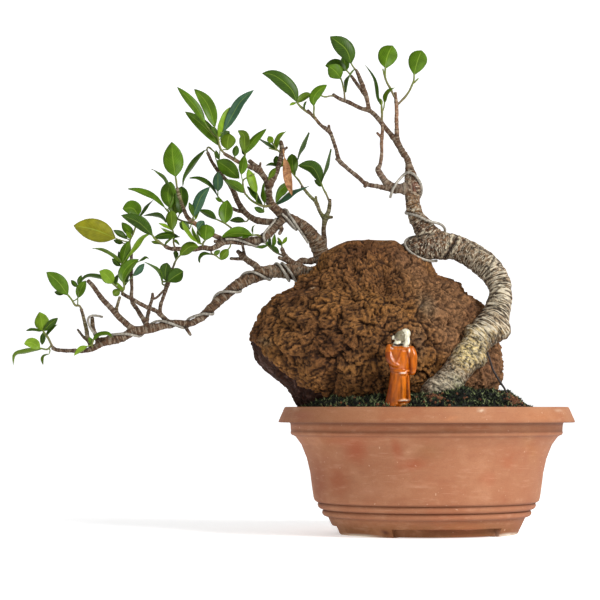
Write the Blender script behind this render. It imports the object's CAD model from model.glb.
"""Dresses the Chinese banyan bonsai: bowl, ground, rock, wood, leaves, wires and figurine."""

import math

import bmesh
import bpy
import numpy as np
from bpy.props import FloatProperty, FloatVectorProperty, IntProperty, PointerProperty
from mathutils import Euler, Matrix, Vector, noise
from mathutils.bvhtree import BVHTree


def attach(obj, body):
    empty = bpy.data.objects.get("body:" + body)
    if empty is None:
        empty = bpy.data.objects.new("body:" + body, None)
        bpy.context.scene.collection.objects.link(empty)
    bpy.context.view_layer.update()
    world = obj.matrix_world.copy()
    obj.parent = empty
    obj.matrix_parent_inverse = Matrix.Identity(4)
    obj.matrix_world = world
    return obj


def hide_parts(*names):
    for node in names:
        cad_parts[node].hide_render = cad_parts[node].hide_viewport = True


bl_info = {
    "name": "Chinese banyan bonsai",
    "version": (1, 0, 0),
    "blender": (4, 5, 0),
    "location": "View3D > Sidebar > Bonsai",
    "description": "Builds the finished look of a banyan bonsai over a rock in a clay bowl",
    "category": "Object",
}

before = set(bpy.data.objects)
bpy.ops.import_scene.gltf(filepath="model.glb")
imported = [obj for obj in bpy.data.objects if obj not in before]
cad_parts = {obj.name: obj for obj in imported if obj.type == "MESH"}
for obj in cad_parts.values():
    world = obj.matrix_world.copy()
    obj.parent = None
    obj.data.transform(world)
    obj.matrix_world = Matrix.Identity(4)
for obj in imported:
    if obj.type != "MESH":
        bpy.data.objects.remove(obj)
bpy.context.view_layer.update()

MM = 0.001

# All measures below are in mm. The tables hold places of the front view, seen from the
# eye; the pieces are laid down by the height of the bowl's foot in them.
FOOT = 5.5
SIGHT_X = -126.0
SIGHT_Z = 131.0
SIGHT_DISTANCE = 2200.0
AIM_Z = 238.0
LENS = 132.0

SOIL_TOP = 129.5
MOSS_BASE = 130.5

# Recesses in the foot of the bowl, in degrees round it, and the holes in its floor.
APRON_START = -24.0
APRON_WIDTH = 71.0
APRON_COUNT = 3
APRON_TOP = 13.8
APRON_RADIUS = 87.0
DRAIN_RADIUS = 7.0
DRAIN_CENTRES = ((45.0, 10.0), (-31.0, 34.0), (-14.0, -44.0))

# Outside of the bowl from the bottom edge up to the rim, then down the inside to
# the floor: radius, height and how many steps round off the stretch to the next.
BOWL_PROFILE = (
    (0, 5.5, 1), (60, 5.5, 1), (89.2, 5.5, 1), (90.4, 6, 1), (91, 7, 2), (92.2, 9.6, 4),
    (94.9, 15, 4), (98, 21.6, 1), (98.6, 22.4, 1), (100.6, 22.6, 1), (102.6, 23.4, 1),
    (103.7, 24.8, 1), (104.1, 26.2, 1), (103.8, 28, 1), (102.9, 29, 1), (103.6, 29.4, 1),
    (106, 30.2, 1), (107.8, 31.6, 1), (108.6, 33.6, 1), (108.4, 35.4, 1), (107.8, 36.2, 1),
    (109.6, 36.9, 1), (111.6, 38.4, 1), (112.6, 41.4, 5), (114.2, 52, 6), (116, 66, 6),
    (119.2, 80, 6), (124.6, 93.6, 4), (130.3, 101.4, 1), (132.2, 102.7, 1), (133.9, 103.2, 1),
    (135, 104.2, 1), (135.5, 105.6, 1), (135.2, 107, 1), (135.1, 107.6, 3), (135.7, 114.4, 1),
    (136.4, 115.6, 2), (146.7, 115.8, 1), (147.4, 116.1, 1), (147.5, 117, 6), (141.9, 129.8, 1),
    (141.3, 130.8, 1), (140.2, 131.2, 2), (134.9, 130.9, 1), (133.7, 130.2, 4), (128, 106, 4),
    (112, 68, 4), (99, 30.5, 2), (88, 18.5, 1), (60, 16.9, 1), (0, 16.5, 1),
)

# Grooves of the bowl that hold dirt: height, half width, strength.
BOWL_GROOVES = (
    (29.2, 1.3, 0.55), (36.3, 1.5, 0.55), (22.5, 1.4, 0.45), (107.3, 1.2, 0.4),
    (102.9, 1.2, 0.35), (115.2, 1.6, 0.75),
)

# Moss from left to right: x and height.
MOSS_HEIGHTS = (
    (-150, 131), (-134, 137), (-122, 144), (-111, 149), (-98, 146), (-80, 141), (-62, 143),
    (-48, 143), (-20, 142), (0, 146), (20, 148), (36, 151), (50, 148), (66, 146), (82, 146.5),
    (92, 139), (99, 133), (130, 130.5),
)

# Levels of the rock: height, left and right limits, middle depth, half depth.
ROCK_LEVELS = (
    (119, -112, 52, -2, 50), (130, -127, 64, -3, 58), (141, -134, 69, -4, 63),
    (152, -143, 72, -4, 68), (163, -157, 75, -3, 71), (177, -170, 76, -2, 73),
    (193, -175, 73, 0, 72), (204, -174, 69, 1, 70), (216, -170, 64, 2, 66), (229, -163, 58, 4, 60),
    (241, -150, 46, 6, 53), (248, -135, 37, 8, 47), (254, -130, 33, 9, 43),
    (261, -124, 13, 10, 39), (268, -113, 6, 10, 35), (277, -108, 2, 10, 29),
    (285, -102, -9, 10, 23), (292, -90, -21, 9, 17), (297, -78, -33, 8, 11),
)

# Peak of the rock, and the place inside it that its surface faces away from: x, depth, height.
ROCK_PEAK = (-55.0, 8.0, 299.6)
ROCK_MIDDLE = (-50.0, 2.0, 200.0)

# Ragged line at the left of the rock where its brown skin ends: height, x.
ROCK_BARE_EDGE = (
    (137, -92), (148, -111), (152, -126), (163, -140.5), (177, -157), (190, -163), (200, -181),
)

# Branches: x, height, depth and radius of each point in turn.
BRANCHES = {
    "trunk": (10, 119, -84, 15, 14, 136, -82, 15.5, 17, 147, -80, 15, 27, 162, -74, 13.6, 41, 181,
        -62, 14.4, 52, 197, -50, 13.4, 64, 211, -38, 16.2, 71, 226, -26, 13.4, 75, 244, -16, 11.4,
        71.5, 258, -9, 12, 61, 272, -4, 13, 46, 283, 0, 12.8, 30, 290.5, 3, 12.6, 17, 292, 4, 13.4,
        1, 291, 4, 12, -11, 291, 5, 9.5, -25, 284.5, 19, 8, -42, 279, 36, 8.4, -65, 275, 46, 8.6,
        -86, 274, 48, 9),
    "leader": (14, 294, 4, 10, 3, 304, 3, 10.8, -3, 312, 3, 9.6, -9.5, 322, 2, 8, -12.6, 334, 2,
        7.2, -13, 348, 2, 7.2, -14.5, 361, 2, 6.2, -16, 367, 2, 4.4),
    "apex": (-15, 362, 2, 4.2, -16.2, 372, 2, 3.4, -18.5, 380, 2, 3.3, -23.5, 387.5, 3, 3.1, -29,
        397.5, 4, 2.7, -36, 406, 5, 2.3, -43.5, 415.5, 6, 2.2, -52, 425.5, 7, 2.1, -57.5, 429, 7,
        2, -65, 431, 7, 1.9, -76, 436.5, 6, 1.7, -86, 440.6, 5, 1.7, -92.5, 444.5, 4, 1.5),
    "apex_upright": (-28, 395, 4, 2.3, -28.6, 406, 2, 1.9, -29, 420, 0, 1.8, -29, 433, -1, 1.8,
        -29.6, 440, -1, 1.5, -30, 446.5, -1, 1.2),
    "apex_shoulder": (-12, 350, 1, 6, -24, 350, -1, 5, -31, 350, -2, 4.4, -38, 350.3, -4, 3, -48,
        352, -8, 2.1, -60, 355, -11, 2, -68, 361.8, -12, 1.9, -79, 371, -14, 1.8, -86, 377.5, -15,
        1.9, -90, 390, -15, 1.6, -93.8, 402, -15, 1.6, -97, 408, -15, 1.9, -105, 414, -14, 1.5,
        -111.5, 421.5, -14, 1.4, -118, 428.6, -14, 1.4),
    "apex_thumb": (-31, 350, -2, 3.6, -38.5, 355, -2, 4, -43, 361, -4, 3.2, -47.5, 369, -6, 2.9,
        -45.4, 374.5, -7, 1.7, -44, 386, -8, 1.5, -44, 398, -9, 1.5, -43.2, 408, -10, 1.4, -43.6,
        418, -10, 1.3),
    "apex_thumb_stub": (-44, 401.5, -9, 1.3, -48.6, 406.2, -10, 0.9),
    "apex_bend_stub": (-84, 375.6, -14.6, 1.3, -90, 379.8, -15, 1),
    "apex_top_stub": (-96.6, 407, -15, 1.3, -97, 413.6, -15, 1),
    "apex_knob": (-59, 355.2, -11, 1.5, -61, 352, -11, 1.5),
    "apex_twin": (-57, 429.5, 7, 1.9, -58.5, 440, 4, 1.8, -60.4, 448, 3, 1.8, -64, 456.5, 2, 2.1,
        -66, 461.5, 2, 1.8, -69.4, 469.6, 1, 1.2),
    "apex_twin_left": (-58.8, 441, 4, 1.6, -65, 450.5, 8, 1.5, -71, 459, 11, 1.5, -74.4, 463.6, 12,
        1.2),
    "upper": (-80, 274.5, 48, 8.6, -97, 277.5, 48, 8.8, -105, 285, 47, 8.2, -108.5, 294, 45, 7.8,
        -113.5, 302, 43, 7.2, -121, 310.5, 41, 6.2, -130, 316.5, 39, 5.4, -142, 323, 37, 4.8, -150,
        329, 35, 4.5, -156, 336, 34, 4.1, -157.6, 346, 32, 3.6, -157, 356.5, 31, 3.4),
    "fork_left": (-157, 354, 31, 3.1, -162, 361.5, 29, 2.8, -167, 368.6, 27, 3.6, -171, 372.4, 26,
        2.8, -176.5, 377.6, 26, 1.9),
    "fork_left_stub": (-167, 369, 27, 1.4, -165.6, 376, 27, 0.9),
    "fork_left_twig": (-168, 368.6, 26, 2.3, -176, 371.6, 22, 2, -183, 374.5, 20, 1.9, -190, 378,
        18, 1.8, -201.6, 385, 16, 1.6),
    "fork_right": (-157, 354, 31, 3, -152.6, 360, 32, 2.8, -149, 368.6, 34, 2.5, -145.8, 379, 36,
        2.3, -144, 389, 37, 2.4, -145.4, 397.4, 37, 1.8),
    "fork_right_stub": (-144, 387.6, 37, 1.5, -139, 391.6, 37, 1),
    "middle": (-142, 322, 37, 4, -147.5, 314.5, 34, 4.1, -155, 306.5, 31, 4.1, -164, 300, 29, 4.3,
        -172, 297, 26, 4.2, -184, 297, 22, 4, -195, 297.6, 18, 3.6, -201.5, 296.8, 16, 3.2, -208,
        293, 13, 2.7, -215, 289.6, 11, 2.5, -223, 290.4, 9, 2.3, -234, 288.7, 7, 2.1, -248, 289.3,
        4, 2, -256, 289.6, 3, 1.8, -261, 292, 2, 1.6),
    "middle_stub": (-204, 295.4, 15, 2, -211.4, 296.8, 14, 1.5),
    "middle_hook": (-148, 313.6, 33, 2.6, -144.4, 309.4, 29, 2, -146.6, 304.6, 27, 1.4),
    "back_branch": (-147, 315, 35, 3.2, -157, 316.4, 38, 3.4, -168, 317.6, 40, 3.3, -175.5, 321.2,
        41, 3, -183, 328, 42, 2.8, -188, 336, 43, 2.6, -193, 347.4, 44, 2.4, -198, 356, 45, 2,
        -206, 365, 46, 1.6, -214, 376, 46, 1.5, -218.6, 386, 46, 1.3),
    "back_twig": (-183, 327.4, 41, 2, -188, 327.6, 38, 1.6, -194, 330, 36, 1.4),
    "tan_branch": (-199, 296.8, 17, 2.7, -204, 299, 17, 2.3, -212, 302.6, 17, 2.1, -221.5, 307.4,
        16, 2.1, -231, 314.6, 14, 2, -238.4, 320.6, 13, 1.9, -243, 330, 11, 1.7, -247, 342, 10,
        1.6, -249, 350, 10, 1.5),
    "low": (-80, 274, 48, 8.8, -96, 271, 48, 9, -106, 264.4, 47, 9, -117, 262.6, 45, 9, -130,
        265.4, 42, 8.2, -146, 267, 38, 6.9, -160, 265.6, 34, 6.6, -177, 259, 30, 6.1, -190, 252,
        27, 5.6, -203, 241, 23, 5.1, -215, 230, 20, 4.6, -226, 219.6, 17, 3.8, -237, 214.4, 14,
        3.2, -250, 214.8, 11, 3.5, -262, 212.6, 8, 3.8, -279, 208.6, 5, 4.4, -292, 206.6, 3, 4.1,
        -301, 202, 1, 4.4, -312, 198, -1, 4.3, -323, 196, -3, 4.3, -331, 190.6, -4, 2.8, -340,
        187.4, -5, 2.1, -354, 187.2, -6, 1.8, -368, 187.9, -6, 1.7, -373, 190, -6, 1.9),
    "low_spur": (-238, 215, 14, 2, -240, 211, 13, 1.8, -235.6, 203, 12, 1.2),
    "low_left_arm": (-163, 264, 33, 3.6, -170.6, 272.4, 36, 3.4, -177.5, 277, 38, 3.1, -183, 281.6,
        39, 2.7, -188.4, 286.8, 40, 1.9),
    "low_left_arm_twig": (-181, 280, 39, 1.9, -187.4, 279.4, 41, 1.6, -195.4, 279.6, 43, 1.3),
    "low_left_arm_sprout": (-182, 280.6, 39, 1.8, -182.6, 288, 41, 1.3, -184, 294, 42, 1),
    "low_top_twig": (-122, 266, 42, 4.4, -129, 272.4, 41, 3.2, -136, 277, 40, 2.8, -141, 282, 39,
        2.4, -144, 289.6, 38, 1.8),
    "low_top_stub": (-134, 275, 40, 2.2, -147, 280.6, 38, 1.7),
    "low_bridge": (-129, 271.6, 41, 3, -124.6, 277.2, 43, 3, -117, 277, 45, 3, -107, 278.6, 47,
        3.6),
    "low_end_left": (-334, 190, -4, 2.2, -338, 199, -5, 2, -340, 210, -6, 1.8, -342.6, 220.6, -8,
        1.5, -344.7, 228.6, -9, 1.4),
    "low_end_right": (-327, 194, -3, 2.6, -330.6, 203, -2, 2.1, -333.2, 210.6, -1, 1.9, -334,
        219.6, -1, 1.7),
    "low_end_dead": (-337.6, 197.6, -5, 1.6, -343, 201.4, -2, 1.3, -348.4, 208.4, 0, 1),
    "low_front": (-288, 205, 4, 3.4, -297, 212, 1, 3, -306, 219.8, -3, 2.8, -315, 229.6, -8, 2.5,
        -324.5, 239.8, -11, 2.2, -333, 251.6, -14, 2, -338, 257, -15, 1.9),
    "low_front_twig": (-310, 224.6, -5, 1.7, -309.4, 231, -8, 1.4, -306.4, 240.6, -12, 1.2),
    "low_rise": (-277, 209.6, 6, 2.8, -281, 216, 7, 2.3, -289, 228.4, 9, 2, -294.4, 237.6, 12, 1.8,
        -294.4, 250, 15, 1.6, -295, 266, 18, 1.5, -295, 284, 21, 1.4),
    "low_cross": (-256, 213, 9, 3, -262, 219.6, 8, 2.3, -269, 226.4, 6, 2, -279, 230.6, 2, 1.9,
        -290, 236.6, -1, 1.8, -304, 244.3, 0, 1.6),
    "low_thin": (-280.4, 209, 6, 2, -279, 219, 11, 1.7, -276.6, 230, 15, 1.6, -274, 239.4, 19, 1.5,
        -273.6, 244.6, 20, 1.3),
    "low_thin_side": (-274, 240, 19, 1.1, -270.4, 239.8, 20, 1, -262.4, 247.4, 23, 1),
    "low_knuckle": (-266, 223.6, 7, 1.9, -265.6, 233, 14, 1.6, -262, 243, 20, 1.6, -259.4, 252, 25,
        2.2, -256, 260.4, 28, 2.1, -254, 269, 30, 1.8),
    "pillar": (-105, 288, 46, 4, -101.8, 297, 46, 2.7, -102.2, 309, 44, 2.2, -100.8, 319.6, 43,
        2.4, -97.6, 326.4, 42, 2.1, -96.4, 333, 42, 1.8, -96, 338.6, 42, 1.6),
    "pillar_knob": (-99.6, 320.6, 43, 1.6, -93.8, 321.2, 43, 1.3),
    "pillar_left": (-101, 319, 43, 2.1, -106.4, 327.4, 45, 1.7, -110, 336.2, 46, 1.6, -117, 343.4,
        46, 1.4, -124, 352, 46, 1.3),
    "pillar_left_stub": (-109.6, 335, 46, 1.3, -110, 341.8, 46, 1),
}

# The limbs that carry old and grooved bark.
OLD_LIMBS = ("trunk", "leader")

# Burls on the trunk: x, height, depth, radius.
BURLS = (
    (75, 208.5, -40, 9.5), (47, 206, -55, 8.5), (50, 181, -61, 11), (10, 146, -84, 14),
)

# The leaning dead twig from the trunk down to the soil: x, height, depth.
TWIG_POINTS = (
    (61.4, 185.2, -66.6), (64.4, 176, -68), (67.5, 167, -69), (73.4, 157, -70.8),
    (80, 146.5, -72), (86.4, 134, -73.5), (90, 126.6, -74),
)

# Wires: radius, closeness (True lies on the bark), then x, height and depth of each point
# in turn.
WIRES = {
    "wire_apex": (1.35, False, -35.6, 340.4, -7, -34.6, 346, -9, -32.4, 353, -9.5, -28.5, 357.8,
        -7.5, -24.6, 359.8, -4.5, -23.6, 362, 0, -21.6, 366, -2.5, -17.6, 368, -5, -11, 364.6,
        -6.5, -5.6, 357.6, -5, -3.2, 350, -1, -4.4, 343.6, 4, -8, 338, 10.5, -14, 332, 11.6, -20.4,
        326, 7, -20.6, 324.2, 0, -15, 325, -6, -8, 323.6, -7.6, -1, 318.6, -8.8, 6, 316, -8, 13,
        315.6, -4.5, 18.6, 312, 1.5, 21, 306, 11, 14, 300, 18, 2, 301, 18, -8, 302.6, 14, -17.6,
        300.6, 8, -21.4, 294, 2.5, -17, 286.8, -3, -6, 280, -6, 4, 276.6, -2, 11, 277.4, 6),
    "wire_low_end": (1.2, False, -323.4, 221, -6, -329, 223.4, -5, -334, 223.6, -3.6, -338, 222,
        -4, -339.4, 217.6, -12, -336.6, 210.6, -12, -331.6, 203, -9, -327.6, 201.6, -4.6),
    "wire_upper": (1.3, True, -121, 293, 36, -124.6, 295.4, 33, -127, 302, 31.4, -129, 308.6, 31,
        -132, 316, 31.4, -136, 322.4, 31.6, -141, 327, 33, -146, 328.6, 37, -144, 323, 42.6, -138,
        315, 44, -132, 309, 43, -127.6, 306, 37, -130.6, 307.6, 34.4, -134, 314, 32, -139, 320, 31,
        -144, 324.6, 30.4),
    "wire_middle": (1.2, True, -146, 317, 40, -146.4, 320.4, 36, -150, 320.2, 31, -155.4, 317, 28,
        -159.6, 312.6, 25.6, -162, 307.4, 24.6, -163.6, 303, 25, -165, 299, 24, -162.4, 296.4,
        26.4, -160, 299, 30, -164, 301, 34, -168, 297.6, 32, -168.6, 293.6, 26.6, -173, 292.8,
        22.4, -178.4, 294.4, 19.6, -184, 297.4, 17, -190, 299.4, 15, -196, 299.8, 13.6, -201,
        298.6, 13),
    "wire_low": (1.3, True, -114, 273, 55.5, -120, 268, 55, -126, 260, 51, -129, 256.6, 43, -131,
        259.4, 34, -136, 266.6, 30.6, -141, 272, 32, -145, 274.8, 38, -145, 270, 46, -139, 261, 48,
        -135, 256.6, 40, -138, 260, 31.6, -142, 266.6, 28.6, -146, 271.6, 31, -150, 274.4, 37,
        -152, 270, 43, -153, 263, 44, -154.6, 258.8, 38.6, -157, 258.6, 32, -162, 261.4, 27.2,
        -168, 264.6, 25, -175, 266, 25.4, -181, 264.6, 28.5, -186, 261, 33.5, -187, 254.6, 35,
        -184.4, 248, 31, -188, 246.6, 22, -193, 246.2, 19.8, -199, 246, 18.6, -205, 244.8, 19.6,
        -210.4, 241.6, 23.5, -213.4, 235.6, 27, -213.4, 228.6, 24.6, -213.6, 224, 19, -217, 224.2,
        14.6, -222, 225.2, 13.2, -228, 224.6, 12.6, -234, 221, 12, -238, 217.6, 14, -240.6, 213.4,
        17, -240, 209.4, 14, -241.6, 209.6, 9.6, -246, 210.6, 6.6, -252, 213, 5.2, -258, 216, 4.8,
        -264, 218, 5.4, -270, 218, 6.6, -275.6, 215.4, 9, -280, 210, 10.4, -284, 203.4, 8, -285.6,
        200.6, 3, -290, 202, -1.4, -296, 204.4, -3.4, -302, 205.6, -4, -308, 203.8, -5, -313, 201,
        -4.6, -317, 201.6, 0.6, -320.6, 198, 3.4, -323, 192.6, 1),
}

# Depth of the middle of the figurine, and the size of the cells that its skin is drawn from.
FIGURE_DEPTH = -99.0
FIGURE_CELL = 0.52

# The one dead leaf: its stalk as x, height and depth, its blade as x and height.
DRY_STALK = ((-144, 388.6, 37), (-143, 389.4, 31), (-142.4, 386, 28))
DRY_LEAF = ((-141.8, 382), (-139.8, 372), (-138.4, 361), (-136.6, 352), (-134, 343))
DRY_WIDTH = 9.0

# Leafy shoots: stems, then leaves. A stem is its start and end radius, then x, height and
# depth of each point. A leaf is its tone, width, lean of the tip in depth, how many of its
# points are stalk, then x and height of each point. Tones are L lime, M middle green,
# D dark, T bluish, O olive and Y yellow; a small letter has a blunt tip.
SHOOTS = {
    "leaves_01_low_tip": (
        ((1.3, 1, -373, 190, -6, -377, 198, -7, -383, 207, -8),
         (1.1, 0.8, -374.5, 193, -6, -379, 188.6, -8, -386, 189.6, -9)),
        (("L", 15, 3, 0, -383.5, 208, -385, 218, -387, 226),
         ("D", 7, 5, 0, -382, 208, -376, 214, -368.5, 220),
         ("D", 4, -5, 0, -379, 203.6, -369, 213.4),
         ("D", 3, -6, 0, -384, 206.5, -389, 209.3, -395, 209.6, -400, 207.5),
         ("D", 5.5, 6, 0, -383, 205.5, -384, 193),
         ("L", 11, -4, 0, -385.5, 191, -394, 195, -402, 194),
         ("O", 4.5, 4, 0, -384, 188.6, -401, 185.5, -410.6, 183, -412.2, 172.7),
         ("O", 3, -3, 1, -376, 188, -377, 184, -382.5, 181, -383, 173.3))),
    "leaves_02_low_side": (
        ((1.2, 0.9, -333, 190, -4, -334, 193, -10, -333, 198, -12),),
        (("L", 5, -3, 1, -335, 193, -338.6, 191.6, -345, 188, -352, 182),
         ("M", 5, -2, 0, -335, 194, -337, 201),
         ("M", 5, -2, 0, -333, 198, -326, 203, -318, 203.6, -313.6, 200.5))),
    "leaves_03_low_left_top": (
        ((1.2, 0.9, -344.2, 226, -8.6, -346.4, 232, -10, -351, 232.5, -10, -354.4, 238, -11,
          -358.5, 243, -12),),
        (("M", 15, -5, 0, -359, 245, -368, 256, -380, 266), ("D", 5, 4, 0, -362.4, 244, -372, 246),
         ("M", 9.5, 5, 1, -348.5, 234, -348.4, 240, -345, 250, -340.5, 257.6),
         ("D", 5, 6, 2, -348.5, 240, -348.4, 246, -349, 251, -355.5, 258),
         ("D", 5, 7, 2, -348.5, 240, -348.4, 246, -348.2, 253, -345, 263))),
    "leaves_04_low_cross_top": (
        ((1.3, 1, -300, 242.2, 0, -304, 246, 0, -309, 250.6, 0, -314, 255, 0),
         (1.1, 0.9, -304, 246.4, 0, -302, 251.4, 3, -303, 256, 5)),
        (("D", 4, 6, 0, -313, 254.4, -321, 258.6, -336, 261.6, -342.6, 259, -348.5, 251),
         ("L", 13, -5, 0, -312, 256, -320, 263, -327, 267), ("D", 5, 5, 0, -310, 253, -309, 264),
         ("O", 8, -7, 0, -307, 249, -313, 242.6), ("L", 4, -8, 0, -303, 247.6, -309.6, 256),
         ("M", 11.5, 4, 0, -303, 255, -303.4, 264, -297.6, 272.4, -287.6, 279),
         ("D", 3.4, 6, 1, -294, 272, -287, 277, -281, 281.5, -277, 279.5),
         ("T", 6, 10, 1, -299, 256, -293.6, 262, -282, 274.5),
         ("D", 5, 8, 0, -301, 253, -296.6, 267))),
    "leaves_05_rise_top": (
        ((1.1, 0.8, -295, 280, 20.6, -296.8, 296, 22, -293, 305, 23, -289, 319, 24),),
        (("Y", 23, -9, 2, -297, 296, -303.6, 297.4, -311, 300, -332, 308.6, -353, 312.7),
         ("D", 6, -5, 0, -298.6, 299, -313, 308), ("D", 5, 6, 1, -298, 293, -303, 295, -313, 298),
         ("M", 9, 7, 0, -294.6, 304, -300, 310, -305, 316),
         ("L", 5, -5, 0, -296.4, 300, -300, 307),
         ("M", 16, -5, 0, -288, 322, -293.6, 330, -304, 329.8),
         ("D", 4.6, 5, 0, -286.6, 322, -281.6, 332, -273.5, 338.4))),
    "leaves_06_rise_side": (
        ((1, 0.8, -295, 268, 18.5, -299, 271, 12, -304.6, 274.4, 10),),
        (("M", 11, -4, 0, -303.5, 275, -301.6, 287, -298, 297.4),
         ("L", 4, -6, 0, -302, 277, -289, 295.5, -283, 302, -276.5, 304.6),
         ("O", 4, -5, 0, -305, 273, -310.5, 282, -323.6, 289.3, -334, 289.6),
         ("D", 6, 4, 0, -306, 272, -314.6, 279.5), ("D", 5, 6, 0, -304, 275, -308, 287))),
    "leaves_07_middle_end": (
        ((1.3, 1, -258.6, 290.6, 2.6, -264, 294, 1, -271, 299, -1, -274, 303, -2),),
        (("D", 13, -3, 0, -274, 304, -288, 316, -305.5, 323),
         ("O", 4, 5, 0, -263, 293.6, -275, 296.6),
         ("O", 3, -7, 0, -262, 293, -257, 297.4, -252, 301.4))),
    "leaves_08_middle_far": (
        ((1, 0.8, -251, 289.3, 3.6, -252.8, 296, 6, -252.6, 303, 8, -254, 309, 9),),
        (("o", 12, 3, 0, -253.8, 308, -255.6, 328), ("L", 3, -3, 0, -255, 307, -267.5, 315),
         ("L", 3, 4, 0, -254, 305, -266, 310.5),
         ("D", 7.5, -3, 0, -246.6, 301.4, -256, 303.6, -264, 303, -272.6, 300.8),
         ("L", 3, 5, 0, -251.6, 299, -246.6, 293.4))),
    "leaves_09_tan_side": (
        ((1.2, 0.9, -229, 313, 14, -236, 315, 21, -246, 318, 22, -254, 322.5, 22, -261, 330, 22),),
        (("D", 4, 5, 1, -256, 320, -260, 316, -268, 321.6, -283, 322.4),
         ("M", 6.5, 5, 0, -262, 332, -270.6, 339, -279, 344, -289, 348, -298.6, 349.6),
         ("M", 4, 5, 1, -258, 330, -253, 341, -260, 359, -267, 365.5, -275, 369.6),
         ("m", 16, 4, 0, -256, 330, -258.6, 344, -256, 357),
         ("o", 14, 8, 0, -253, 323, -250.5, 339.5),
         ("d", 15, 7, 0, -247, 324, -245, 338, -245.6, 352))),
    "leaves_10_tan_top": (
        ((1.1, 0.8, -248.4, 347, 10, -250.2, 356, 9, -251, 362, 9),),
        (("M", 21, 2, 0, -251, 362, -253.6, 380, -255, 397),)),
    "leaves_11_tan_middle": (
        ((1, 0.8, -233.6, 316.6, 13.6, -233.4, 319.4, 8, -233, 322, 6),),
        (("T", 11, -3, 0, -234, 321, -229, 333, -224.6, 343, -216.6, 351.6),
         ("D", 5, -4, 0, -233.4, 322, -237.4, 336), ("L", 4, 4, 0, -231, 319, -226, 331),
         ("D", 9, -5, 1, -235, 314, -237, 309, -247, 316))),
    "leaves_12_middle_mid": (
        ((1.1, 0.9, -223.4, 290.4, 9, -223.2, 295, 5, -221, 298, 3),
         (0.9, 0.7, -223.2, 294, 5.6, -227, 295, 5)),
        (("m", 18, 2, 0, -220.6, 298, -220.4, 306, -220, 314),
         ("T", 9, 6, 1, -224, 301, -229, 309, -222.4, 317.6),
         ("L", 4, -4, 0, -227, 295, -234.4, 312), ("L", 4, -8, 0, -228, 295, -244, 317),
         ("L", 3, 5, 0, -225.4, 295, -229.6, 307.6))),
    "leaves_13_knuckle_top": (
        ((1.2, 0.9, -254.6, 266, 29.6, -252.4, 273, 23, -250, 278.4, 13, -246.4, 282.6, 2.6),),
        (("O", 11.6, -3, 0, -244.6, 284.6, -237, 291.2, -227.8, 291.6),
         ("D", 5, 16, 0, -251, 279.6, -250.4, 288))),
    "leaves_14_knuckle_side": (
        ((1, 0.8, -259.4, 252, 25, -263.6, 254, 22, -264, 257, 20),),
        (("M", 3.5, -4, 0, -263.6, 259, -270, 267.4, -282, 276),
         ("d", 12, -6, 0, -260, 257, -261, 266, -259, 275.4),
         ("d", 15, -8, 1, -262.6, 256, -258.4, 256.4, -251, 262, -243, 266.6))),
    "leaves_15_middle_under": (
        ((0.9, 0.7, -215, 289.6, 11, -214.6, 285, 11, -210, 282, 10, -206, 279, 10),),
        (("M", 5, 3, 0, -211.6, 284, -206, 288),
         ("D", 3.5, -4, 0, -211.5, 283, -221.6, 283.6, -226, 280, -226.6, 275.5))),
    "leaves_16_middle_drop": (
        ((0.9, 0.7, -195, 297.6, 18, -196, 291.6, 17, -198, 289, 16),),
        (("O", 9, -3, 0, -198, 289.4, -202, 284, -205.4, 278),)),
    "leaves_17_middle_rise": (
        ((1.1, 0.8, -191, 297.6, 19.6, -193.6, 308, 19, -200, 314, 19, -210, 319, 20),),
        (("D", 7, -3, 0, -210, 319, -219, 324.6, -228, 328),
         ("M", 15, 3, 0, -200.6, 316, -200.4, 328, -199, 338.5))),
    "leaves_18_back_side": (
        ((0.9, 0.7, -177, 322.4, 41, -178.6, 317.6, 39, -182, 316.6, 38),),
        (("D", 6, -3, 0, -181, 316.4, -189, 318, -196.6, 317.4),)),
    "leaves_19_middle_front": (
        ((1, 0.8, -164, 300, 29, -168, 303, 20, -174, 303, 13),),
        (("M", 10, -5, 0, -174, 303.6, -190, 305, -205, 300.5),
         ("D", 3, -3, 0, -173, 302.4, -184.6, 300),
         ("O", 2, 4, 0, -173.4, 305.6, -173, 311, -170.6, 313.4))),
    "leaves_20_back_top": (
        ((0.9, 0.8, -218.2, 384.6, 46, -219.4, 389.6, 46, -217.6, 391.4, 42, -212, 387, 38),),
        (("D", 5, -6, 0, -221.8, 388.4, -231, 377, -241, 362, -243.5, 351),
         ("M", 16, -5, 0, -210, 378, -199, 371, -187, 360))),
    "leaves_21_back_twig": (
        ((1.1, 0.8, -192, 329, 36.6, -196.6, 331.6, 35, -203, 336, 34, -208.5, 342, 33),),
        (("T", 11, -4, 0, -208.4, 347, -208.4, 358, -208.5, 367),
         ("D", 4.5, 4, 0, -208.6, 343, -216, 352, -227, 359.6, -237, 360.5),
         ("M", 4, -4, 0, -203, 337, -211, 341))),
    "leaves_22_upper_spray": (
        ((1.4, 0.9, -154, 334, 34, -160, 332, 25, -168, 334, 22, -176, 339, 20, -181, 345, 19),
         (0.9, 0.7, -181, 344, 19, -183.4, 357, 17, -178, 361.6, 16, -172, 364.6, 15)),
        (("M", 9, -4, 0, -181, 345.4, -192, 353, -202, 358.5),
         ("D", 5, -4, 0, -167, 335, -179, 352), ("D", 4, 4, 0, -164, 334, -171.6, 350),
         ("L", 9, -6, 1, -170, 335, -169, 345, -173, 358, -178, 369.6),
         ("M", 5, -5, 0, -161.4, 335, -162.4, 356),
         ("D", 6, -3, 1, -162.6, 330, -162, 326, -172, 331),
         ("M", 9, -4, 1, -183.6, 358, -185, 364, -182, 384))),
    "leaves_23_twig_end": (
        ((1.2, 0.9, -199, 383.4, 16.4, -206, 390, 15, -208, 399, 15, -209, 405, 15),
         (0.8, 0.7, -208.6, 402, 15, -213, 405, 14, -219, 412, 12)),
        (("M", 9.5, -5, 0, -221, 415.6, -229.6, 430.4, -237.8, 440.4, -249.6, 452.6),
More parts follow.
